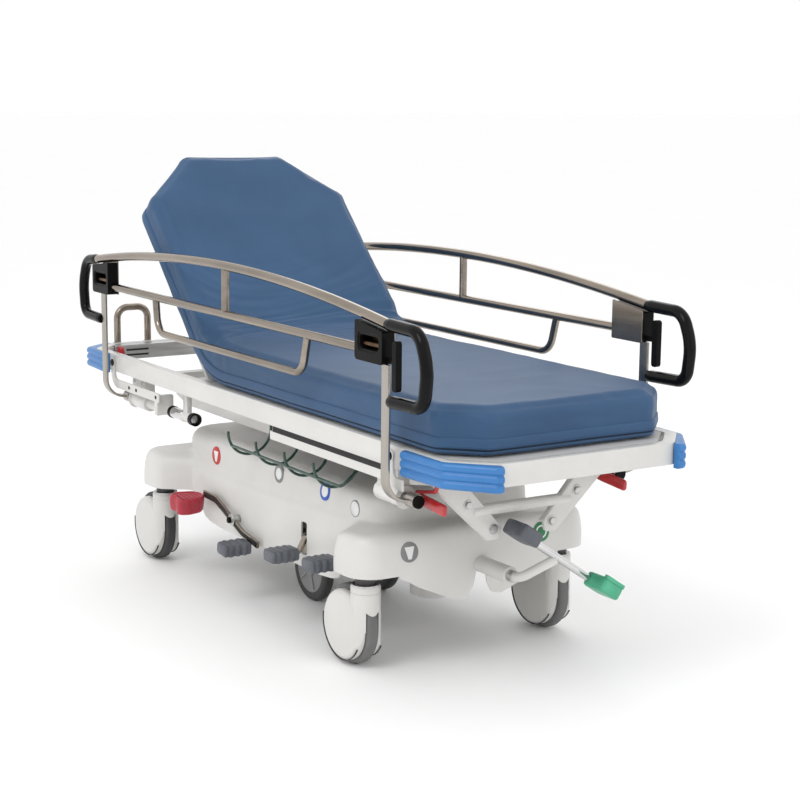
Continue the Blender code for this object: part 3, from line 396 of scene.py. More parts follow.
def flat_profile(half_a, half_b, radius, steps=4):
    """A rounded rectangle about the origin."""
    return flat([(-half_a, -half_b), (half_a, -half_b), (half_a, half_b), (-half_a, half_b)], radius, steps)


def merged(*parts):
    """One bmesh from several."""
    whole = parts[0]
    for part in parts[1:]:
        mesh = bpy.data.meshes.new("part")
        part.to_mesh(mesh)
        part.free()
        whole.from_mesh(mesh)
        bpy.data.meshes.remove(mesh)
    return whole


def round_edges(obj, width, segments=2, from_angle=30):
    """Bevels every edge sharper than the angle, in degrees."""
    rounding = obj.modifiers.new("rounding", "BEVEL")
    rounding.width = width
    rounding.segments = segments
    rounding.limit_method = "ANGLE"
    rounding.angle_limit = math.radians(from_angle)


def finish_skin(obj, material, angle):
    """Gives the piece its one material and smooth shading with sharp edges above the angle."""
    obj.data.materials.clear()
    obj.data.materials.append(M[material])
    obj.data.shade_smooth()
    obj.data.set_sharp_from_angle(angle=math.radians(angle))


def piece(name, bm, material, body=None, replaces=(), angle=35, bevel=0.0):
    """A finished piece from geometry in world coordinates, riding on its body."""
    mesh = bpy.data.meshes.new(name)
    bm.to_mesh(mesh)
    bm.free()
    obj = bpy.data.objects.new(name, mesh)
    bpy.context.scene.collection.objects.link(obj)
    if bevel:
        round_edges(obj, bevel)
        angle = 60
    finish_skin(obj, material, angle)
    if body:
        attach(obj, body)
    if replaces:
        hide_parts(*replaces)
    return obj


def apply_modifiers(obj):
    """Bakes the modifiers into the mesh."""
    bpy.context.view_layer.update()
    graph = bpy.context.evaluated_depsgraph_get()
    mesh = bpy.data.meshes.new_from_object(obj.evaluated_get(graph))
    obj.modifiers.clear()
    mesh.name = obj.name
    obj.data = mesh


def boolean(obj, bm, operation="DIFFERENCE"):
    """Cuts the shape from the piece, or joins or intersects them, and bakes the result."""
    mesh = bpy.data.meshes.new("tool")
    bm.to_mesh(mesh)
    bm.free()
    tool = bpy.data.objects.new("tool", mesh)
    bpy.context.scene.collection.objects.link(tool)
    modifier = obj.modifiers.new("shape", "BOOLEAN")
    modifier.operation = operation
    modifier.solver = "EXACT"
    modifier.object = tool
    apply_modifiers(obj)
    bpy.data.objects.remove(tool)


def carry(node_name, material, bevel):
    """A CAD node that stays: welded, eased along its edges, and given its material."""
    obj = frame["nodes"][node_name]
    weld = obj.modifiers.new("weld", "WELD")
    weld.merge_threshold = 0.00001
    round_edges(obj, bevel)
    finish_skin(obj, material, 35)


# ---------------------------------------------------------------- mattress


def mattress_plan(inset):
    """The mattress's outline laid out flat, from the near head side round by the foot."""
    head, foot = MATTRESS_HEAD_X + inset, MATTRESS_FOOT_X - inset
    width = MATTRESS_HALF_WIDTH - inset
    hc, fc = HEAD_CHAMFER - inset * 0.6, FOOT_CHAMFER - inset * 0.6
    corners = [(head + hc, -width), (foot - fc, -width), (foot, -width + fc), (foot, width - fc),
               (foot - fc, width), (head + hc, width), (head, width - hc), (head, -width + hc)]
    return fillet([Vector((*c, 0)) for c in corners], 0.022, 5, closed=True)


def bend(x, y, height):
    """A point of the flat mattress carried onto the seat, round the bend and up the backrest."""
    s = BEND_START - x
    if s <= 0:
        return Vector((x, y, DECK_Z + height))
    turn = min(s, BEND_ARC) / BEND_RADIUS
    reach = max(0.0, s - BEND_ARC)
    centre = Vector((BEND_START, y, DECK_Z + BEND_RADIUS))
    inward = Vector((math.sin(turn), 0, math.cos(turn)))
    along = Vector((-math.cos(turn), 0, math.sin(turn)))
    return centre - inward * (BEND_RADIUS - height) + along * reach


def swell(obj):
    """Blows the cover up by cloth pressure, each point moving only outward and by a few millimetres."""
    start = np.array([v.co for v in obj.data.vertices])
    outward = np.array([v.normal for v in obj.data.vertices])
    cloth = obj.modifiers.new("cloth", "CLOTH")
    settings = cloth.settings
    settings.use_pressure = True
    settings.uniform_pressure_force = 4.0
    settings.effector_weights.gravity = 0.0
    settings.quality = 5
    settings.tension_stiffness = 40.0
    settings.compression_stiffness = 20.0
    settings.bending_stiffness = 2.0
    cloth.point_cache.frame_start = 1
    cloth.point_cache.frame_end = CLOTH_FRAMES
    for step in range(1, CLOTH_FRAMES + 1):
        bpy.context.scene.frame_set(step)
    apply_modifiers(obj)
    bpy.context.scene.frame_set(1)
    moved = np.array([v.co for v in obj.data.vertices]) - start
    swelling = np.clip((moved * outward).sum(axis=1, keepdims=True), -MOST_SHRINKING, MOST_SWELLING)
    settled = start + swelling * outward
    settled[:, 2] = np.maximum(settled[:, 2], 0.0005)
    obj.data.vertices.foreach_set("co", settled.ravel())
    obj.data.update()


def gathers(x, y, height):
    """How far the cover's folds stand in or out near the bend, in metres."""
    s = (BEND_START - x) / BEND_ARC - 0.75
    near_bend = math.exp(-(s / 0.95) ** 2)
    edge = abs(y) / MATTRESS_HALF_WIDTH
    fan = x + 0.16 * edge * edge * (s - 0.2) + 0.02 * math.sin(y * 9.0)
    broad = noise.noise(Vector((fan * 14.0, y * 1.6, height * 3.0)))
    fine = noise.noise(Vector((fan * 38.0, y * 3.0, height * 8.0 + 3.0)))
    ridge = (1.0 - abs(broad) * 2.4) * 0.0056 + (0.5 - abs(fine) * 1.6) * 0.0062
    up = max(0.0, min(1.0, (height - 0.015) / 0.08))
    strength = 0.25 + 0.75 * edge ** 1.5
    everywhere = noise.noise(Vector((x * 4.0, y * 5.0, height * 9.0))) * 0.0018
    side_pull = (1.0 - abs(noise.noise(Vector((x * 7.0, y * 7.0, height * 34.0)))) * 2.4) * 0.0011
    return near_bend * up * strength * ridge + everywhere + side_pull + corner_folds(x, y, height)


def corner_folds(x, y, height):
    """The sewn folds where the cover turns each chamfered corner, deepest under the top edge."""
    total = 0.0
    width = MATTRESS_HALF_WIDTH
    for px, py in ((MATTRESS_FOOT_X - FOOT_CHAMFER, width), (MATTRESS_FOOT_X, width - FOOT_CHAMFER),
                   (MATTRESS_HEAD_X + HEAD_CHAMFER, width), (MATTRESS_HEAD_X, width - HEAD_CHAMFER)):
        gap = math.hypot(x - px, abs(y) - py)
        down = (MATTRESS_THICKNESS - height) / MATTRESS_THICKNESS
        crease = math.exp(-(gap / 0.0065) ** 2) * max(0.0, 1.0 - down * 1.6) * 0.0030
        puff = math.exp(-((gap - 0.022) / 0.012) ** 2) * max(0.0, 1.0 - abs(down - 0.3) * 2.0) * 0.0018
        total += puff - crease
    return total


def mattress():
    """The one bent mattress: made flat, swelled by cloth, folded and bent, with its trims."""
    levels = ((0.0015, 0.018), (0.006, 0.011), (0.014, 0.008), (0.090, 0.008), (0.099, 0.012), (0.104, 0.022))
    rings = [[(p.x, p.y, z) for p in mattress_plan(inset)] for z, inset in levels]
    obj = piece("mattress", skin(rings), "fabric", replaces=("mattress_seat", "mattress_back"),
                angle=180)
    remesh = obj.modifiers.new("even_mesh", "REMESH")
    remesh.mode = "VOXEL"
    remesh.voxel_size = MATTRESS_VOXEL
    apply_modifiers(obj)
    obj.data.materials.clear()
    obj.data.materials.append(M["fabric"])
    swell(obj)
    subdivision = obj.modifiers.new("fine", "SUBSURF")
    subdivision.levels = subdivision.render_levels = 1
    apply_modifiers(obj)
    mesh = obj.data
    normals = [v.normal.copy() for v in mesh.vertices]
    surface_tree = BVHTree.FromPolygons([v.co for v in mesh.vertices], [p.vertices for p in mesh.polygons])
    trims = mattress_trims(surface_tree)
    for vertex, normal in zip(mesh.vertices, normals):
        x, y, z = vertex.co
        x, y, z = vertex.co + normal * gathers(x, y, z)
        vertex.co = bend(x, y, max(z, 0.0005))
    mesh.shade_smooth()
    for soft in [obj, *trims]:
        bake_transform(soft)


def mattress_trims(surface_tree):
    """The zip flap, its zip strip darkened past the tape's own colour as painted shade of the gap under the
    flap, and the band below it, which follow the cover's own surface.
    """
    plan = even(mattress_plan(0.0), 0.009, closed=True)
    count = len(plan)
    outward = []
    for i in range(count):
        along = plan[(i + 1) % count] - plan[i - 1]
        normal = np.array((along[1], -along[0]))
        outward.append(normal / np.linalg.norm(normal))

    def on_cover(i, height, proud):
        """The place that stands proud of the cover at a height, beside point i of the plan."""
        origin = Vector((*(plan[i][:2] + outward[i] * 0.05), height))
        direction = Vector((*(-outward[i]), 0))
        hit = surface_tree.ray_cast(origin, direction, 0.12)[0]
        base = hit if hit else Vector((*plan[i][:2], height))
        return base - direction * proud

    def strip_around(name, material, profile, ripple=0.0):
        """A strip round the whole cover; its profile is (height, how far it stands out)."""
        rings = []
        for i in range(count):
            wave = ripple * noise.noise(Vector((plan[i][0] * 9, plan[i][1] * 9, len(name))))
            ring = []
            for height, proud in profile:
                x, y, z = on_cover(i, height, proud + wave)
                x, y, z = Vector((x, y, z)) + Vector((*outward[i], 0)) * gathers(x, y, z)
                ring.append(bend(x, y, z))
            rings.append(ring)
        return piece(name, skin(rings, loop=True), material, angle=50)

    flap = [(0.0440, -0.0012), (0.0432, 0.0018), (0.0410, 0.0030), (0.0340, 0.0036), (0.0270, 0.0048),
            (0.0215, 0.0050), (0.0195, 0.0040), (0.0192, 0.0020), (0.0210, 0.0006), (0.0300, -0.0012)]
    # The zip strip sits in the gap under the flap; its dark colour is partly real tape and partly painted
    # shade.
    tape = [(0.0205, -0.0012), (0.0195, 0.0004), (0.0150, 0.0004), (0.0140, -0.0012)]
    lower = [(0.0152, -0.0012), (0.0148, 0.0016), (0.0110, 0.0034), (0.0060, 0.0030), (0.0025, 0.0004),
             (0.0040, -0.0020)]
    return [strip_around("mattress_zip_flap", "fabric", flap, 0.0016),
            strip_around("mattress_zip", "zip", tape),
            strip_around("mattress_lower_band", "fabric", lower, 0.0012)]


# ---------------------------------------------------------------- base


def mirrored(quarter):
    """A closed outline from the quarter of it in +X +Y, given from the X axis round to the Y axis."""
    quarter = [(p[0], p[1]) for p in quarter]
    top = quarter + [(-x, y) for x, y in reversed(quarter) if x > 1e-6]
    return top + [(x, -y) for x, y in reversed(top) if y > 1e-6]


def shroud_plan(inset):
    """The lower shroud's plan: a pod at each end and a waist between them."""
    length, width, waist, slope = 0.642 - inset, 0.350 - inset, 0.250 - inset, 0.075
    pod = 0.430 + inset
    quarter = [(length, 0, 0), (length, width, 0), (pod + slope, width, 0), (pod, waist, 0), (0, waist, 0)]
    return mirrored(fillet(quarter, [0, 0.070 - inset, 0.050, 0.060 + inset, 0], 10))


def rounded_plan(centre_x, half_length, half_width, radius):
    """A rectangle with rounded corners."""
    corners = [(half_length, half_width), (-half_length, half_width), (-half_length, -half_width),
               (half_length, -half_width)]
    return [(centre_x + x, y) for x, y in flat(corners, radius, 8)]


def stacked(plan, levels):
    """A form through plans at rising heights: each level is (height, how far the plan draws in)."""
    return skin([[(*p, z) for p in plan(draw)] for z, draw in levels])


def end_skirt():
    """What is taken from under each end face: the scalloped lower edge with a slot between two lobes."""
    edge = [(0.40, 0.241), (0.250, 0.240), (0.217, 0.226), (0.182, 0.205), (0.143, 0.188), (0.094, 0.166),
            (0.064, 0.156), (0.036, 0.162), (0.020, 0.190), (0.0135, 0.222), (0.0135, 0.252), (0.006, 0.259)]
    edge = [(-y, z) for y, z in edge] + [(y, z) for y, z in reversed(edge)]
    smooth = flat(edge, [0] + [0.010] * (len(edge) - 2) + [0], 4, closed=False)
    return [(-0.40, 0.10)] + smooth + [(0.40, 0.10)]


def side_skirt():
    """What is taken from under each side: the pods' lower edges and the step down to the waist's."""
    edge = [(0.70, 0.241), (0.440, 0.240), (0.412, 0.222), (0.396, 0.197), (0.379, 0.175), (0.345, 0.166),
            (0.280, 0.160)]
    right = flat(edge, [0, 0.03, 0.03, 0.03, 0.03, 0.05, 0], 4, closed=False)
    return [(0.70, 0.10)] + right + [(-x, z) for x, z in reversed(right)] + [(-0.70, 0.10)]


def waist_ledge(bm):
    """Steps the waist's walls out below a soft crease that rises towards the foot."""
    bm.normal_update()
    for vertex in bm.verts:
        x, y, z = vertex.co
        if abs(vertex.normal.y) > 0.6 and abs(y) < 0.262:
            crease = 0.318 + 0.048 * x
            fade = max(0.0, min(1.0, (0.470 - abs(x)) / 0.06))
            vertex.co.y += math.copysign(0.0030, y) * fade * (1.0 - math.tanh((z - crease) / 0.004))


def shroud_form():
    """The shroud's outer form as one body: skirt, shoulder and a dome round each column."""
    skirt = stacked(shroud_plan, ((0.148, 0.003), (0.200, 0.001), (0.270, 0.0), (0.292, 0.0015),
                                  (0.312, 0.0045), (0.326, 0.0085), (0.336, 0.015), (0.344, 0.030)))
    shoulder = stacked(lambda d: rounded_plan(0, 0.545 - d, 0.244 - d, 0.075 - d * 0.5),
                       ((0.28, 0.0), (0.382, 0.002), (0.398, 0.007), (0.409, 0.017), (0.415, 0.034)))
    domes = [stacked(lambda d, c=end * COLUMN_X: rounded_plan(c, 0.135 - d, 0.160 - d, 0.070 - d * 0.4),
                     ((0.300, 0.0), (0.370, 0.008), (0.398, 0.020), (0.414, 0.038), (0.424, 0.066)))
             for end in ENDS.values()]
    return merged(skirt, shoulder, *domes)


def shroud():
    """The moulded shroud: a thin shell, open below, with its skirts, column holes and pedal slots cut."""
    obj = piece("shroud", shroud_form(), "plastic", "root", ("base_shroud",))
    remesh = obj.modifiers.new("one_form", "REMESH")
    remesh.mode = "VOXEL"
    remesh.voxel_size = SHROUD_VOXEL
    soften = obj.modifiers.new("soften", "SMOOTH")
    soften.factor = 0.5
    soften.iterations = 6
    apply_modifiers(obj)
    bm = bmesh.new()
    bm.from_mesh(obj.data)
    waist_ledge(bm)
    below = [f for f in bm.faces if f.normal.z < -0.6 and f.calc_center_median().z < 0.165]
    bmesh.ops.delete(bm, geom=below, context="FACES")
    bm.to_mesh(obj.data)
    bm.free()
    wall = obj.modifiers.new("wall", "SOLIDIFY")
    wall.thickness = 0.004
    wall.offset = -1
    apply_modifiers(obj)
    for end in ENDS.values():
        low, high = sorted((end * 0.500, end * 0.70))
        boolean(obj, extrude(end_skirt(), "X", low, high))
        boolean(obj, cylinder("Z", (end * COLUMN_X, 0), 0.0575, 0.30, 0.45, 64))
    for side in SIDES.values():
        low, high = sorted((side * 0.238, side * 0.40))
        boolean(obj, extrude(side_skirt(), "Y", low, high))
    for name, (low, high) in PEDAL_SLOT.items():
        left, right = PEDAL_X[name] - 0.015, PEDAL_X[name] + 0.015
        slot = flat([(left, low), (right, low), (right, high), (left, high)], 0.007)
        boolean(obj, extrude(slot, "Y", -0.30, -0.20))
    boolean(obj, cylinder("Y", (BRAKE_PIVOT.x, BRAKE_PIVOT.z), 0.013, -0.30, -0.20, 32))
    finish_skin(obj, "plastic", 40)
    tree = BVHTree.FromPolygons([v.co for v in obj.data.vertices], [p.vertices for p in obj.data.polygons])
    shroud_marks(tree)
    slot_linings()


def disc_on(tree, name, origin, direction, layers):
    """Thin stacked discs laid on the shroud: each layer is (radius, thickness so far, material).

    Returns the place and turn of the spot they lie on.
    """
    hit, normal = tree.ray_cast(Vector(origin), Vector(direction))[:2]
    turn = normal.to_track_quat("Z", "Y").to_matrix().to_4x4()
    for k, (radius, rise, material) in enumerate(layers):
        bm = knob("Z", (0, 0), [(radius, -0.002), (radius, rise - 0.0004), (radius - 0.0006, rise)], 48)
        bm.transform(Matrix.Translation(hit) @ turn)
        piece(f"{name}_{k}", bm, material, "root")
    return Matrix.Translation(hit) @ turn


def shroud_marks(tree):
    """Plain coloured discs beside the pedals, without lettering."""
    near = (0, 1, 0)
    end = (-1, 0, 0)
    red = disc_on(tree, "mark_brake", (-0.325, -0.6, 0.361), near, ((0.0260, 0.0012, "mark_red"),))
    grey = disc_on(tree, "mark_foot_brake", (0.9, -0.210, 0.297), end, ((0.0250, 0.0012, "mark_grey"),))
    for name, place in (("brake", red), ("foot_brake", grey)):
        pointer = skin([[(-0.0135, 0.013, z), (0.0135, 0.013, z), (0.0045, -0.0175, z), (-0.0045, -0.0175, z)]
                        for z in (0.0006, 0.0019)])
        pointer.transform(place)
        piece(f"mark_{name}_pointer", pointer, "mark_white", "root")
    disc_on(tree, "mark_thin_ring", (0.440, -0.6, 0.366), near,
            ((0.0215, 0.0010, "mark_grey"), (0.0190, 0.0013, "mark_white")))
    disc_on(tree, "mark_pump", (0.045, -0.6, 0.379), near,
            ((0.0245, 0.0012, "mark_grey"), (0.0160, 0.0015, "mark_white")))
    disc_on(tree, "mark_release", (0.290, -0.6, 0.381), near,
            ((0.0245, 0.0012, "mark_blue"), (0.0160, 0.0015, "mark_white")))
    disc_on(tree, "mark_foot_steer", (0.9, 0.185, 0.297), end,
            ((0.0250, 0.0012, "mark_green"), (0.0170, 0.0015, "mark_white"), (0.0130, 0.0018, "mark_green")))


def slot_linings():
    """Steel faces set back behind the two pedal slots, clear of the arms."""
    for name, (low, high) in PEDAL_SLOT.items():
        middles = [PEDAL_X[name] + s * 0.0225 for s in (-1, 1)]
        sides = [box((x - 0.0015, -0.247, low - 0.004), (x + 0.0015, -0.226, high + 0.004)) for x in middles]
        piece(f"{name}_slot_cheeks", merged(*sides), "upright", "root", bevel=0.0005)


def caster(side_name, end_name):
    """One swivel caster: a moulded fork with two side covers, and its wheel."""
    x, y = ENDS[end_name] * CASTER_X, SIDES[side_name] * CASTER_Y
    axle_x = x - CASTER_TRAIL
    axle = (axle_x, WHEEL_RADIUS)
    rear = axle_x - COVER_RADIUS - 0.02
    place = f"{side_name}_{end_name}"
    swivel = f"swivel_{place}"
    half = NECK_RADIUS
    wide = half + 0.0006
    turns = [math.pi * (k / 24 - 0.5) for k in range(25)]
    plan = [(x + wide * math.cos(a), y + wide * math.sin(a)) for a in turns]
    plan += [(rear, y + wide), (rear, y - wide)]
    fork = piece(f"fork_{place}", extrude(plan, "Z", 0.005, 0.195), "plastic", swivel,
                 (f"caster_fork_{place}",))
    arc = [(COVER_RADIUS - 0.012 + 0.012 * math.sin(t), 0.012 - 0.012 * math.cos(t))
           for t in [math.pi / 2 * k / 5 for k in range(6)]]
    cover = [(r, y - half + d) for r, d in arc] + [(r, y + half - d) for r, d in reversed(arc)]
    boolean(fork, knob("Y", axle, cover, 96), "INTERSECT")
    neck = [(half, 0.100), (half, 0.2075), (half - 0.0015, 0.211), (half - 0.005, 0.2125)]
    boolean(fork, knob("Z", (x, y), neck, 48), "UNION")
    inner, outer = y - TYRE_WIDTH / 2 - 0.0020, y + TYRE_WIDTH / 2 + 0.0020
    boolean(fork, cylinder("Y", axle, WHEEL_RADIUS + 0.003, inner, outer, 96))
    front = flat([(inner, 0.035), (outer, 0.035), (outer, 0.133), (inner, 0.133)], [0, 0, 0.012, 0.012])
    boolean(fork, extrude(front, "X", x - 0.02, x + 0.06))
    for low in (-half - 0.002, half - 0.0009):
        start, end = y + low, y + low + 0.0029
        groove = [(0.0785, start), (0.0798, start), (0.0798, end), (0.0785, end)]
        boolean(fork, turned(groove, (axle_x, 0, WHEEL_RADIUS), "Y", 96))
    ring = [(half - 0.0012, 0.1935), (half + 0.004, 0.1935), (half + 0.004, 0.1952), (half - 0.0012, 0.1952)]
    boolean(fork, turned(ring, (x, y, 0), "Z", 48))
    finish_skin(fork, "plastic", 32)
    for k, out in enumerate((-1, 1)):
        rim = [(axle_x + 0.0876 * math.cos(a), y + out * 0.0335, WHEEL_RADIUS + 0.0876 * math.sin(a))
               for a in [math.radians(172 + 158 * i / 60) for i in range(61)]]
        strip = sweep(rim, flat_profile(0.0022, 0.0010, 0.0006, 2), (-1, 0, 0))
        piece(f"cover_rim_{place}_{k}", strip, "dark_tyre", swivel)
    piece(f"stem_{place}", cylinder("Z", (x, y), 0.011, 0.205, 0.269, 24), "zinc", swivel)
    piece(f"axle_{place}", cylinder("Y", axle, 0.006, y - 0.0185, y + 0.0185, 20), "zinc", swivel)
    bezel = turned([(half - 0.004, 0.2105), (half - 0.002, 0.2105), (half - 0.002, 0.2145), (0.016, 0.2145),
                    (0.016, 0.2105)], (x, y, 0), "Z", 48)
    piece(f"bearing_{place}", bezel, "zinc", swivel)
    rolling_wheel(f"caster_{place}", (axle_x, y, WHEEL_RADIUS), WHEEL_RADIUS, TYRE_WIDTH / 2, 0.0063,
                  "tyre" if end_name == "foot" else "dark_tyre", f"wheel_{place}", f"caster_wheel_{place}")


def rolling_wheel(name, centre, radius, half, bore, rubber, body, replaced):
    """A rubber tyre with an eased tread on a ribbed plastic hub."""
    rim = radius - 0.024
    arc = [(radius - 0.010 + 0.010 * math.sin(t), -half + 0.010 - 0.010 * math.cos(t))
           for t in [math.pi / 2 * k / 6 for k in range(7)]]
    tread = [(rim, -half + 0.0012), (rim + 0.004, -half)] + arc
    tread += [(r, -w) for r, w in reversed(tread)]
    piece(f"{name}_tyre", turned(tread, centre, "Y", 96), rubber, body, (replaced,))
    hub = [(bore, -half - 0.0004), (0.020, -half - 0.0004), (0.022, -half + 0.003),
           (rim - 0.010, -half + 0.004), (rim - 0.004, -half + 0.0005), (rim, -half + 0.0012)]
    hub += [(r, -w) for r, w in reversed(hub)]
    parts = [turned(hub, centre, "Y", 96)]
    for k in range(5):
        angle = 2 * math.pi * k / 5
        spoke = box((0.018, -half + 0.0008, -0.004), (rim - 0.005, half - 0.0008, 0.004))
        spoke.transform(Matrix.Translation(centre) @ Matrix.Rotation(angle, 4, "Y"))
        parts.append(spoke)
    piece(f"{name}_hub", merged(*parts), "hub", body)


def steering_wheels():
    """The two wheels in the middle of the base."""
    for side_name, side in SIDES.items():
        rolling_wheel(f"steering_{side_name}", (0, side * 0.108, 0.090), 0.090, 0.015, 0.0083, "dark_tyre",
                      f"steering_wheel_{side_name}", f"steering_wheel_{side_name}")


def under_base():
    """The base parts that keep their CAD form."""
    carry("base_frame", "frame", 0.003)
    carry("steering_arm", "frame", 0.0015)
    carry("foot_pedal_sleeve", "paint", 0.0015)
    for name in ("head_cylinder", "foot_cylinder"):
        carry(name, "paint", 0.002)
    for name in ("head_ram", "foot_sleeve", "foot_ram"):
        carry(name, "chrome", 0.001)


# ---------------------------------------------------------------- pedals


def block(plan, levels):
    """A solid through scaled copies of one plan about the origin: levels are (height, scale)."""
    return skin([[(p[0] * s, p[1] * s, z) for p in plan] for z, s in levels])


def ribbed_pad(half_x, half_y, half_z, ribs, radius=0.010):
    """A soft foot pad along Y, rounded at both ends and ribbed across."""
    count = 60
    end_rounding = 0.010
    path, scales = [], []
    for k in range(count + 1):
        t = k / count
        y = half_y * (1 - 2 * t)
        from_end = min(t, 1 - t) * 2 * half_y
        ease = min(1.0, from_end / end_rounding)
        rounding = 0.72 + 0.28 * math.sqrt(max(0.0, 1 - (1 - ease) ** 2))
        wave = 0.045 * math.cos(2 * math.pi * ribs * t) if 0.06 < t < 0.94 else 0.0
        path.append((0, y, 0))
        scales.append(rounding * (0.965 + wave))
    return sweep(path, flat_profile(half_x, half_z, radius, 6), (0, 0, 1), scales=scales)


def put(bm, centre, pitch=0.0, roll=0.0):
    """The geometry made about the origin, turned and moved to its place."""
    bm.transform(Matrix.Translation(centre) @ Matrix.Rotation(roll, 4, "X") @ Matrix.Rotation(pitch, 4, "Y"))
    return bm


def side_pedals():
    """The near side's brake rocker, pump pedal and release pedal."""
    brake_y = -0.272
    path = fillet([(-0.345, brake_y, 0.250), (-0.270, brake_y, 0.248), (-0.110, brake_y, 0.186),
                   (-0.020, brake_y, 0.172)], [0, 0.07, 0.07, 0], 14)
    path = [tuple(p) for p in even(path, 0.006)]
    piece("brake_channel", sweep(path, flat_profile(0.004, 0.010, 0.0015), (0, 0, 1)), "stainless",
          "brake_rocker", ("brake_bar",), angle=40)
    # A thin near-black strip inside the channel: painted shade of its hollow.
    inner = [(x, y - 0.0041, z) for x, y, z in path[2:-2]]
    piece("brake_channel_painted_shade", sweep(inner, flat_profile(0.0004, 0.0062, 0.0003, 2), (0, 0, 1)), "painted_shade",
          "brake_rocker")
    pivot = (BRAKE_PIVOT.x, BRAKE_PIVOT.z)
    washer = turned([(0.0112, -0.2765), (0.017, -0.2765), (0.017, -0.279), (0.0112, -0.280)],
                    (BRAKE_PIVOT.x, 0, BRAKE_PIVOT.z), "Y", 40)
    pin = merged(cylinder("Y", pivot, 0.011, -0.283, -0.186, 32), washer)
    piece("brake_pivot", pin, "zinc", "brake_rocker")
    tip = knob("Y", pivot, [(0.004, -0.291), (0.0075, -0.2895), (0.009, -0.2865), (0.009, -0.2828)], 32)
    piece("brake_pivot_tip", tip, "black", "brake_rocker")
    heart = flat([(-0.032, -0.051), (0.000, -0.040), (0.032, -0.051), (0.0430, -0.018), (0.033, 0.028),
                  (0.012, 0.044), (-0.012, 0.044), (-0.033, 0.028), (-0.0430, -0.018)],
                 [0.014, 0.018, 0.014, 0.024, 0.03, 0.010, 0.010, 0.03, 0.024], 10)
    pad = block(heart, ((-0.023, 0.84), (-0.0215, 0.90), (-0.018, 0.95), (-0.002, 0.985), (0.012, 1.0),
                        (0.019, 0.985), (0.0225, 0.95), (0.0235, 0.90), (0.0215, 0.84), (0.0205, 0.80)))
    pad_place, pad_pitch = (-0.345, -0.322, 0.228), 0.10
    piece("brake_pedal", put(pad, pad_place, pad_pitch), "red", "brake_rocker", ("brake_pad",),
          angle=60)
    ridges = [box((-0.024, y - 0.0022, 0.019), (0.024, y + 0.0022, 0.0225))
              for y in (-0.026, -0.013, 0.0, 0.013, 0.026)]
    piece("brake_pedal_ridges", put(merged(*ridges), pad_place, pad_pitch), "red", "brake_rocker", bevel=0.0012)
    neutral = put(ribbed_pad(0.030, 0.041, 0.0175, 4), (-0.066, -0.320, 0.160), pad_pitch)
    piece("neutral_pedal", neutral, "pad", "brake_rocker", ("neutral_pad",), angle=60)
    for name, x in PEDAL_X.items():
        z, body = PEDAL_Z[name], f"{name}_pedal"
        arm = fillet([(x, -0.200, 0.248), (x, -0.248, 0.247), (x, -0.272, z), (x, -0.312, z)],
                     [0, 0.02, 0.015, 0], 8)
        parts = [sweep(arm, flat_profile(0.009, 0.005, 0.0015), (0, 0, 1)),
                 cylinder("X", (-0.205, 0.248), 0.010, x - 0.022, x + 0.022, 32)]
        piece(f"{name}_lever", merged(*parts), "stainless", body, (f"{name}_arm",))
        piece(f"{name}_foot_pad", put(ribbed_pad(0.031, 0.040, 0.0175, 4), (x, -0.322, z)), "pad", body,
              (f"{name}_pad",), angle=60)
    ball = [(0.002, 0.2525), (0.004, 0.2535), (0.007, 0.2575), (0.007, 0.2625), (0.004, 0.2665),
            (0.0015, 0.2675)]
    piece("release_knob", knob("Z", (PEDAL_X["release"], -0.262), ball, 24), "black", "release_pedal")


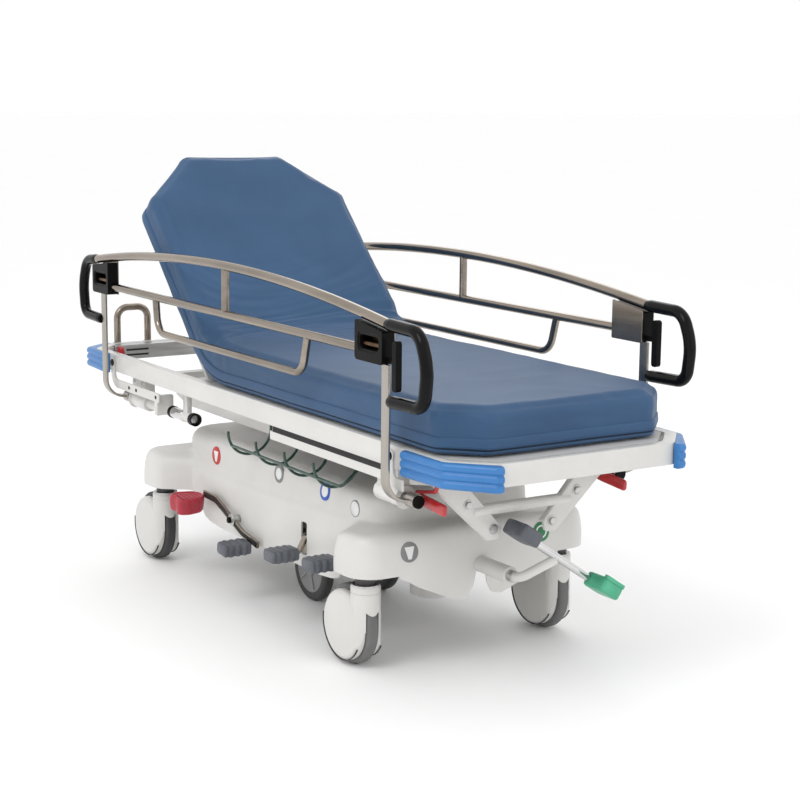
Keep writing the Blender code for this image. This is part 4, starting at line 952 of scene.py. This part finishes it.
def foot_rocker():
    """The foot-end rocker: shaft, cross bar, a grey paddle and a lipped green pad."""
    high = Vector((ROCKER_X, -0.015, 0.357))
    low = Vector((ROCKER_X, 0.195, 0.2175))
    middle = high.lerp(low, 0.52)
    shaft = fillet([(0.600, 0, ROCKER_Z), (0.800, 0, ROCKER_Z), tuple(middle - Vector((0.0, 0.01, 0)))],
                   [0, 0.03, 0], 12)
    along = (low - high).normalized()
    lean = math.atan2(along.z, along.y)
    piece("rocker_shaft", tube(shaft, 0.012, 32), "paint", "foot_rocker", ("foot_rocker",))
    piece("rocker_bar", tube([high - along * 0.02, low + along * 0.01], 0.0095, 32, (1, 0, 0)), "chrome",
          "foot_rocker")
    cuff = tube([(0.772, 0, ROCKER_Z), (0.784, 0, ROCKER_Z)], 0.0145, 32, (0, 0, 1))
    piece("rocker_cuff", cuff, "zinc", "foot_rocker", bevel=0.0008)
    for name, end, out, material, slot in (("foot_pad_brake", high, -1, "pad", "grey_pad"),
                                           ("foot_pad_steer", low, 1, "green", "green_pad")):
        centre = end + along * out * 0.022 + Vector((0.022, 0, 0))
        if out < 0:
            plan = flat([(-0.036, -0.034), (-0.006, -0.037), (0.018, -0.029), (0.040, -0.034), (0.044, 0.0),
                         (0.040, 0.034), (0.018, 0.029), (-0.006, 0.037), (-0.036, 0.034)],
                        [0.010, 0.02, 0.02, 0.008, 0.02, 0.008, 0.02, 0.02, 0.010], 8)
        else:
            plan = flat([(-0.038, -0.034), (0.040, -0.034), (0.040, 0.034), (-0.038, 0.034)],
                        [0.014, 0.010, 0.010, 0.014], 8)
        pad = block(plan, ((-0.018, 0.88), (-0.0165, 0.94), (-0.013, 0.985), (0.0, 1.0), (0.012, 0.985),
                           (0.0165, 0.94), (0.018, 0.88)))
        piece(f"{name}_moulding", put(pad, centre, 0.0, lean), material, "foot_rocker", (name,), angle=50)
        if out > 0:
            lip = block(flat([(0.026, -0.0335), (0.0405, -0.0335), (0.0405, 0.0335), (0.026, 0.0335)],
                             [0.005, 0.006, 0.006, 0.005], 6), ((0.014, 1.0), (0.0215, 1.0), (0.0235, 0.985)))
            piece("steer_pad_lip", put(lip, centre, 0.0, lean), material, "foot_rocker")
        ribs = [box((k * 0.012 - 0.0018, -0.024, 0.0155), (k * 0.012 + 0.0018, 0.024, 0.0192))
                for k in (-2, -1, 0, 1)]
        piece(f"{name}_ribs", put(merged(*ribs), centre, 0.0, lean), material, "foot_rocker", bevel=0.001)


# ---------------------------------------------------------------- litter


def bumper_plan(end, d):
    """The bumper's plan in the +X +Y quarter, its outer face drawn in by d; the head's turn further out."""
    start, turn = (0.815, 0.974) if end > 0 else (0.857, 1.018)
    inner = [(start, 0.3361), (0.9655, 0.3361), (1.0546, 0.2505), (1.0546, 0.248)]
    outer = [(1.0775 - d, 0.248), (1.0775 - d, 0.266 - 0.4 * d), (turn - 0.4 * d, 0.347 - d),
             (start, 0.357 - d)]
    return flat(inner + outer, [0, 0.03, 0.0015, 0, 0.005, 0.014, 0.022, 0.008], 6)


def bumper(name, end, side):
    """A corner bumper with rounded edges and two flutes between its three ribs."""
    levels = []
    steps = 48
    for k in range(steps + 1):
        z = BUMPER_LOW + (BUMPER_HIGH - BUMPER_LOW) * k / steps
        near_edge = max(0.0, 1 - min(z - BUMPER_LOW, BUMPER_HIGH - z) / 0.010)
        ease = 0.008 * (1 - math.sqrt(max(0.0, 1 - near_edge ** 2)))
        flute = sum(0.0042 * math.exp(-((z - c) / 0.0036) ** 2) for c in (0.5530, 0.5725))
        levels.append((z, ease + flute))
    rings = [[(end * x, side * y, z) for x, y in bumper_plan(end, d)] for z, d in levels]
    piece(f"buffer_{name}", skin(rings), "bumper", "litter", (f"bumper_{name}",), angle=50)


def litter():
    """The litter frame and panels as in CAD, with all that is fixed to them."""
    carry("litter_frame", "paint", 0.004)
    carry("seat_deck", "panel", 0.002)
    carry("backrest_panel", "panel", 0.002)
    carry("foot_bracket", "paint", 0.0018)
    for end_name, end in ENDS.items():
        for side_name, side in SIDES.items():
            bumper(f"{side_name}_{end_name}", end, side)
    cradle()
    for side_name, side in SIDES.items():
        push_handle(side_name, side)
        release_handle(side_name, side)
        hanger_details(side_name, side)
    bracket_details()
    head_channel()


def cradle():
    """The wire cradle for a gas cylinder: four hoops, a rail under the litter and a loop along the front."""
    wire, radius, top = CRADLE_WIRE, CRADLE_RADIUS, LITTER_LOW - 0.006
    rail_y = CRADLE_Y + radius
    parts = [tube([(-0.086, rail_y, top), (0.480, rail_y, top)], wire, 12, (0, 0, 1))]
    for x in (-0.080, 0.078, 0.232, 0.382):
        arc = [(x, CRADLE_Y + radius * math.cos(a), CRADLE_Z + radius * math.sin(a))
               for a in [-math.pi * k / 40 for k in range(41)]]
        parts.append(tube([(x, rail_y, top)] + arc, wire, 12, (1, 0, 0)))
        tip = Vector(arc[-1])
        parts.append(knob("Z", (tip.x, tip.y), [(wire, tip.z - 0.001), (wire * 0.9, tip.z + 0.0018),
                                                (wire * 0.45, tip.z + 0.0034)], 12))
    low_y = CRADLE_Y + radius * math.cos(math.radians(214))
    low_z = CRADLE_Z + radius * math.sin(math.radians(214))
    corners = [(-0.086, low_y, low_z), (0.500, low_y, low_z), (0.492, rail_y + 0.002, top)]
    loop = fillet(corners, [0, 0.012, 0], 8)
    parts.append(tube(loop, wire, 12))
    piece("cradle_wires", merged(*parts), "wire", "litter", ("bottle_cradle",), angle=60)
    clips = [box((x - 0.010, rail_y - 0.007, top - 0.001), (x + 0.010, rail_y + 0.007, top + 0.0075))
             for x in (-0.02, 0.16, 0.31, 0.45)]
    piece("cradle_clips", merged(*clips), "paint", "litter", bevel=0.0015)


def push_handle(side_name, side):
    """A steel loop on a hinge rod across the litter's head end."""
    x, z, top = HANDLE_X, HANDLE_Z, 0.702
    inner, outer = side * 0.116, side * 0.220
    path = fillet([(x, inner, z), (x, inner, top), (x, outer, top), (x, outer, z)], [0, 0.035, 0.035, 0], 14)
    rod = cylinder("Y", (x, z), 0.0115, min(inner, outer) - 0.014, max(inner, outer) + 0.014, 32)
    body = f"push_handle_{side_name}"
    piece(f"push_loop_{side_name}", merged(tube(path, 0.011, 24, (1, 0, 0)), rod), "stainless", body, (body,))
    collars = [turned([(0.0112, 0.5805), (0.0150, 0.5805), (0.0150, 0.589), (0.0140, 0.591), (0.0112, 0.591)],
                      (x, y, 0), "Z", 40) for y in (inner, outer)]
    piece(f"push_collars_{side_name}", merged(*collars), "black", body)


def release_handle(side_name, side):
    """A bent red lever with a flat grip, hung under the litter's foot corner."""
    y = side * 0.2625
    x, z = 0.832, LITTER_LOW - 0.014
    corners = [(x, y, z), (x, y, 0.490), (x - 0.082, y, 0.474), (x - 0.080, y, 0.462), (x + 0.036, y, 0.452)]
    path = fillet(corners, [0, 0.012, 0.004, 0.004, 0], 8)
    grip = [(x - 0.070, y, 0.4610), (x - 0.066, y, 0.4607), (x - 0.05, y, 0.4594), (x + 0.030, y, 0.4525),
            (x + 0.035, y, 0.4521), (x + 0.038, y, 0.4519)]
    body = f"release_handle_{side_name}"
    parts = merged(tube(path, 0.005, 16, (0, 1, 0)),
                   sweep(grip, flat_profile(0.0140, 0.0052, 0.0048, 5), (0, 1, 0),
                         scales=[0.7, 0.95, 1.0, 1.0, 0.9, 0.6]))
    piece(f"release_lever_{side_name}", parts, "red_grip", body, (body,), angle=60)
    piece(f"release_pivot_{side_name}", cylinder("Y", (x, z), 0.007, y - 0.013, y + 0.013, 24), "zinc", body)


def hanger_details(side_name, side):
    """What is fixed to one side's hangers, hanging strips and pivot tube, and the dark band of painted shade
    along the side.
    """

    def stud(place, sides, *profile):
        """A round head along Y; each ring is (radius, distance from the middle plane)."""
        return knob("Y", place, [(radius, side * y) for radius, y in profile], sides)

    for end_name, end in ENDS.items():
        x = end * 0.700
        low, high = sorted((end * 0.750, end * 0.753))
        ring = turned([(0.0135, low), (0.0275, low), (0.0275, high), (0.0135, high)],
                      (0, side * RAIL_PIVOT_Y, RAIL_PIVOT_Z), "X", 48)
        piece(f"hanger_ring_{side_name}_{end_name}", ring, "paint", "litter", bevel=0.0006)
        for k, dx in enumerate((-0.028, 0.028)):
            bolt = stud((x + dx, 0.523), 6, (0.0055, 0.3145), (0.0072, 0.3120))
            piece(f"hanger_bolt_{side_name}_{end_name}_{k}", bolt, "zinc", "litter")
    low, high = sorted((side * 0.318, side * 0.326))
    # A near-black band of painted shade where the side shows a dark gap.
    piece(f"litter_painted_shadow_band_{side_name}", box((0.165, low, 0.5225), (0.700, high, 0.5425)), "painted_shade", "litter")
    piece(f"litter_lower_{side_name}", box((0.150, low, 0.500), (0.715, high, 0.523)), "paint", "litter",
          bevel=0.0015)
    for end_name, x in (("head", -0.828), ("foot", 0.752)):
        cap = stud((x, 0.568), 32, (0.0095, 0.3385), (0.0105, 0.3395), (0.0105, 0.3425), (0.0085, 0.3440))
        piece(f"j_plate_cap_{side_name}_{end_name}", cap, "black", "litter")
        boss = stud((x, 0.568), 40, (0.0150, 0.3385), (0.0150, 0.3398), (0.0140, 0.3403))
        piece(f"j_plate_boss_{side_name}_{end_name}", boss, "paint", "litter")
    for k, x in enumerate((-0.709, -0.658, -0.520)):
        screw = stud((x, 0.507), 20, (0.0052, 0.3390), (0.0052, 0.3404), (0.0040, 0.3412))
        piece(f"j_plate_screw_{side_name}_{k}", screw, "black", "litter")
    axis = (side * RAIL_PIVOT_Y, RAIL_PIVOT_Z)
    collars = [turned([(0.0150, low), (radius, low), (radius, high), (0.0150, high)], (0, *axis), "X", 40)
               for radius, low, high in ((0.0185, -0.365, -0.345), (0.0180, -0.500, -0.486))]
    piece(f"pivot_tube_collars_{side_name}", merged(*collars), "black", "litter", bevel=0.001)
    piece(f"pivot_tube_sleeve_{side_name}", cylinder("X", axis, 0.0165, -0.484, -0.416, 40), "chrome", "litter",
          bevel=0.001)
    end_cap = knob("X", axis, [(0.0155, -0.3605), (0.0155, -0.3560), (0.0110, -0.3540)], 40)
    piece(f"pivot_tube_end_{side_name}", end_cap, "zinc", "litter")


def head_channel():
    """The grey channel across the litter's head end, with its grooves drawn as near-black strips of painted
    shade, end blocks and red catches.
    """
    body = box((-1.028, -0.262, 0.547), (-0.986, 0.262, 0.5925))
    piece("head_channel_body", body, "aluminium", "litter", bevel=0.002)
    # The grooves are thin near-black strips laid on the face: painted shade, not cut grooves.
    grooves = [box((-0.9865, low, z), (-0.9850, high, z + 0.006)) for z in (0.558, 0.574)
               for low, high in ((-0.225, -0.150), (0.150, 0.225))]
    piece("head_channel_groove_shade", merged(*grooves), "painted_shade", "litter")
    for side_name, side in SIDES.items():
        low, high = sorted((side * 0.262, side * 0.305))
        piece(f"head_block_{side_name}", box((-1.028, low, 0.551), (-0.992, high, 0.588)), "zinc", "litter",
              bevel=0.003)
        catch = knob("Y", (-0.990, 0.570), [(0.015, side * 0.236), (0.021, side * 0.239), (0.021, side * 0.252),
                                            (0.015, side * 0.255)], 40)
        piece(f"head_catch_{side_name}", catch, "red_grip", "litter", angle=50)
        low, high = sorted((side * 0.275, side * 0.290))
        stub = box((-0.992, low, 0.560), (-0.972, high, 0.578))
        piece(f"head_catch_stub_{side_name}", stub, "red_grip", "litter", bevel=0.003)


def bracket_details():
    """Bolts, washers and folded flanges of the foot bracket."""
    for side_name, side in SIDES.items():
        for k, (y, z) in enumerate(((0.159, 0.442), (0.086, 0.375))):
            head = knob("X", (side * y, z), [(0.0098, 0.8102), (0.0098, 0.8150), (0.0084, 0.8166)], 6)
            washer = knob("X", (side * y, z), [(0.0130, 0.8100), (0.0130, 0.8113), (0.0125, 0.8116)], 32)
            piece(f"bracket_bolt_{side_name}_{k}", merged(washer, head), "zinc", "litter", angle=30)
        lower = [(0.240, 0.480), (0.098, 0.349)]
        upper = [(0.205, 0.5400), (0.150, 0.472), (0.062, 0.376)]
        for k, edge in enumerate((lower, upper)):
            rounding = [0] + [0.02] * (len(edge) - 2) + [0]
            line = fillet([Vector((0.800, side * y, z)) for y, z in edge], rounding)
            flange = sweep(line, flat_profile(0.0085, 0.0016, 0.0008, 3),
                           (0, side * 0.7, -0.7) if k == 0 else (0, -side * 0.7, 0.7))
            piece(f"bracket_flange_{side_name}_{k}", flange, "paint", "litter")


# ---------------------------------------------------------------- side rails


def arch_height(x):
    """The height of the arched top tube's centre line."""
    return ARCH_TOP - ARCH_DROP * ((x - ARCH_CENTRE) / ARCH_REACH) ** 2


def side_rail(side_name, side):
    """One fold-down side rail: its tubes, posts, latch cases, grips and squeeze trigger."""
    y = side * RAIL_Y
    body = f"{side_name}_rail"
    top = [(x, y, arch_height(x)) for x in np.linspace(-0.840, 0.796, 97)]
    drop = fillet([(-0.432, y, MID_TUBE_Z), (-0.418, y, LOWER_TUBE_Z), (0.408, y, LOWER_TUBE_Z),
                   (0.436, y, MID_TUBE_Z)], [0, 0.050, 0.050, 0], 16)
    parts = [tube(top, RAIL_TUBE, 28, (0, 1, 0)),
             tube([(-0.7285, y, MID_TUBE_Z), (0.6805, y, MID_TUBE_Z)], RAIL_TUBE * 0.9, 28, (0, 1, 0)),
             tube([(0, y, MID_TUBE_Z), (0, y, arch_height(0))], RAIL_TUBE * 0.85, 28, (0, 1, 0)),
             tube(drop, RAIL_TUBE * 0.8, 24, (0, 1, 0))]
    piece(f"{side_name}_rail_tubes", merged(*parts), "stainless", body, (f"{side_name}_rail_frame",),
          angle=60)
    for end_name, x in POST_X.items():
        rail_post(f"{side_name}_{end_name}", x, side, body)
    latch_case(f"{side_name}_head_latch", -0.845, -0.729, side, body)
    latch_case(f"{side_name}_foot_latch", 0.681, 0.800, side, body)
    for end_name, end in ENDS.items():
        top_x, post_face = (0.7985, 0.8090) if end > 0 else (0.8425, 0.8190)
        points = [(top_x, arch_height(end * top_x)), (0.926, 0.874), (0.958, 0.800), (0.946, 0.7085),
                  (post_face, 0.7045)]
        path = fillet([(end * px, y, z) for px, z in points], [0, 0.050, 0.120, 0.036, 0], 14)
        path = [tuple(p) for p in even(path, 0.006)]
        sizes = [0.88 + 0.12 * min(1.0, k / 2, (len(path) - 1 - k) / 2) for k in range(len(path))]
        piece(f"{side_name}_{end_name}_loop", tube(path, 0.015, 28, (0, 1, 0), scales=sizes), "grip", body,
              (f"{side_name}_{end_name}_grip",), angle=60)
    face = flat([(0.824, 0.730), (0.844, 0.730), (0.844, 0.845), (0.824, 0.845)], 0.008, 8)
    tongue = box((0.8005, y - 0.005, 0.790), (0.834, y + 0.005, 0.802))
    trigger = merged(extrude(face, "Y", y - 0.008, y + 0.008), tongue)
    moving = f"{side_name}_rail_trigger"
    piece(f"{side_name}_squeeze_bar", trigger, "black", moving, (moving,), bevel=0.002)


def rail_post(name, x, side, body):
    """A flat upright that turns inward at its foot to the hub of its pivot rod."""
    y, pivot_y = side * RAIL_Y, side * RAIL_PIVOT_Y
    path = fillet([(x, y, HOUSING_LOW - 0.0003), (x, y, 0.478), (x, pivot_y, RAIL_PIVOT_Z)], [0, 0.055, 0], 16)
    toward = -1 if x > 0 else 1
    rod = sorted((x - toward * 0.017, x + toward * 0.150))
    strip = sweep(path, flat_profile(0.004, 0.015, 0.0025), (1, 0, 0))
    hub = turned([(0.0108, x - 0.017), (0.0165, x - 0.017), (0.018, x - 0.0155), (0.018, x + 0.0155),
                  (0.0165, x + 0.017), (0.0108, x + 0.017)], (0, pivot_y, RAIL_PIVOT_Z), "X", 48)
    piece(f"{name}_upright", merged(strip, hub), "upright", body, (f"{name}_post",), angle=40)
    piece(f"{name}_pivot_rod", cylinder("X", (pivot_y, RAIL_PIVOT_Z), 0.0105, *rod, 32), "chrome", body)
    low, high = sorted((x - toward * 0.0165, x - toward * 0.0215))
    cap = [(0.0145, low), (0.0155, low + 0.001), (0.0155, high - 0.001), (0.0145, high)]
    piece(f"{name}_pivot_cap", knob("X", (pivot_y, RAIL_PIVOT_Z), cap, 40), "black", body)


def latch_case(name, low, high, side, body):
    """A black latch case under the top tube with a blind finger slot, backed by a steel plate inside."""
    top_low, top_high = arch_height(low) - 0.0145, arch_height(high) - 0.0150
    face = flat([(low, HOUSING_LOW), (high, HOUSING_LOW), (high, top_high), (low, top_low)],
                [0.010, 0.010, 0.005, 0.005], 8)

    def depths(first, last):
        """Two places along Y measured outward from the rail's centre line."""
        return sorted((side * (RAIL_Y + first), side * (RAIL_Y + last)))

    form = extrude(face, "Y", *depths(-0.0150, 0.018))
    case = piece(f"{name}_case", form, "black", body, (name,))
    middle, slot_z = (low + high) / 2, 0.830
    for half_x, half_z, depth, radius in ((0.040, 0.016, -0.012, 0.010), (0.045, 0.021, 0.0155, 0.013)):
        left, right = middle - half_x, middle + half_x
        bottom, top = slot_z - half_z, slot_z + half_z
        slot = flat([(left, bottom), (right, bottom), (right, top), (left, top)], radius, 8)
        boolean(case, extrude(slot, "Y", *depths(depth, 0.03)))
    round_edges(case, 0.0022, 3, 40)
    finish_skin(case, "black", 60)
    plate = flat([(low + 0.002, HOUSING_LOW - 0.001), (high - 0.001, HOUSING_LOW - 0.001),
                  (high - 0.001, top_high + 0.004), (low + 0.002, top_low + 0.004)], 0.004, 4)
    piece(f"{name}_back_plate", extrude(plate, "Y", *depths(-0.0152, -0.0182)), "stainless", body, bevel=0.0008)
    bar = cylinder("X", (side * (RAIL_Y + 0.002), 0.825), 0.0070, middle - 0.042, middle + 0.042, 24)
    piece(f"{name}_bolt", bar, "bronze", body)
    near, far = depths(-0.0125, -0.0110)
    floor = box((middle - 0.042, near, 0.812), (middle + 0.042, far, 0.848))
    piece(f"{name}_slot_floor", floor, "bronze", body)


# ---------------------------------------------------------------- stage, camera, light


def camera():
    """The camera solved from the photograph's outline."""
    data = bpy.data.cameras.new("camera")
    data.lens = 78.38
    data.sensor_width = 36.0
    obj = bpy.data.objects.new("camera", data)
    right = Vector((0.53687, 0.84360, 0.01037))
    up = Vector((-0.15217, 0.08473, 0.98472))
    back = Vector((0.82983, -0.53024, 0.17386))
    turn = Matrix((right, up, back)).transposed().to_4x4()
    obj.matrix_world = Matrix.Translation((4.04396, -2.41667, 1.38660)) @ turn
    bpy.context.scene.collection.objects.link(obj)
    bpy.context.scene.camera = obj


def area_light(name, place, target, size, power):
    """A round lamp aimed at the target."""
    data = bpy.data.lights.new(name, "AREA")
    data.shape = "DISK"
    data.size = size
    data.energy = power
    obj = bpy.data.objects.new(name, data)
    obj.location = place
    obj.rotation_euler = (Vector(target) - Vector(place)).to_track_quat("-Z", "Y").to_euler()
    bpy.context.scene.collection.objects.link(obj)


def studio():
    """A pale floor out to the horizon, an even white sky and three soft lamps."""
    reach = 90
    floor_mesh = bpy.data.meshes.new("floor")
    corners = [(-reach, -reach, 0), (reach, -reach, 0), (reach, reach, 0), (-reach, reach, 0)]
    floor_mesh.from_pydata(corners, [], [(0, 1, 2, 3)])
    floor = bpy.data.objects.new("floor", floor_mesh)
    floor_mesh.materials.append(surface("studio_floor", shade(0.985), shade(0.995), 0.7, patch=0.6, grain=40.0,
                                        bump=0.0))
    bpy.context.scene.collection.objects.link(floor)
    world = bpy.data.worlds.new("studio")
    bpy.context.scene.world = world
    world.use_nodes = True
    sky = world.node_tree.nodes["Background"]
    sky.inputs["Color"].default_value = (1.0, 1.0, 1.0, 1)
    sky.inputs["Strength"].default_value = 1.0
    area_light("key", (1.5, -3.5, 4.2), (0, 0, 0.5), 2.5, 60)
    area_light("fill", (4.5, 1.5, 2.2), (0.3, 0, 0.5), 3.0, 12)
    area_light("back", (-3.5, 2.5, 3.5), (0, 0, 0.6), 2.5, 20)
    bpy.context.scene.view_settings.view_transform = "Standard"


camera()
studio()
shroud()
under_base()
for end_name in ENDS:
    for side_name in SIDES:
        caster(side_name, end_name)
steering_wheels()
side_pedals()
foot_rocker()
litter()
mattress()
for side_name, side in SIDES.items():
    side_rail(side_name, side)
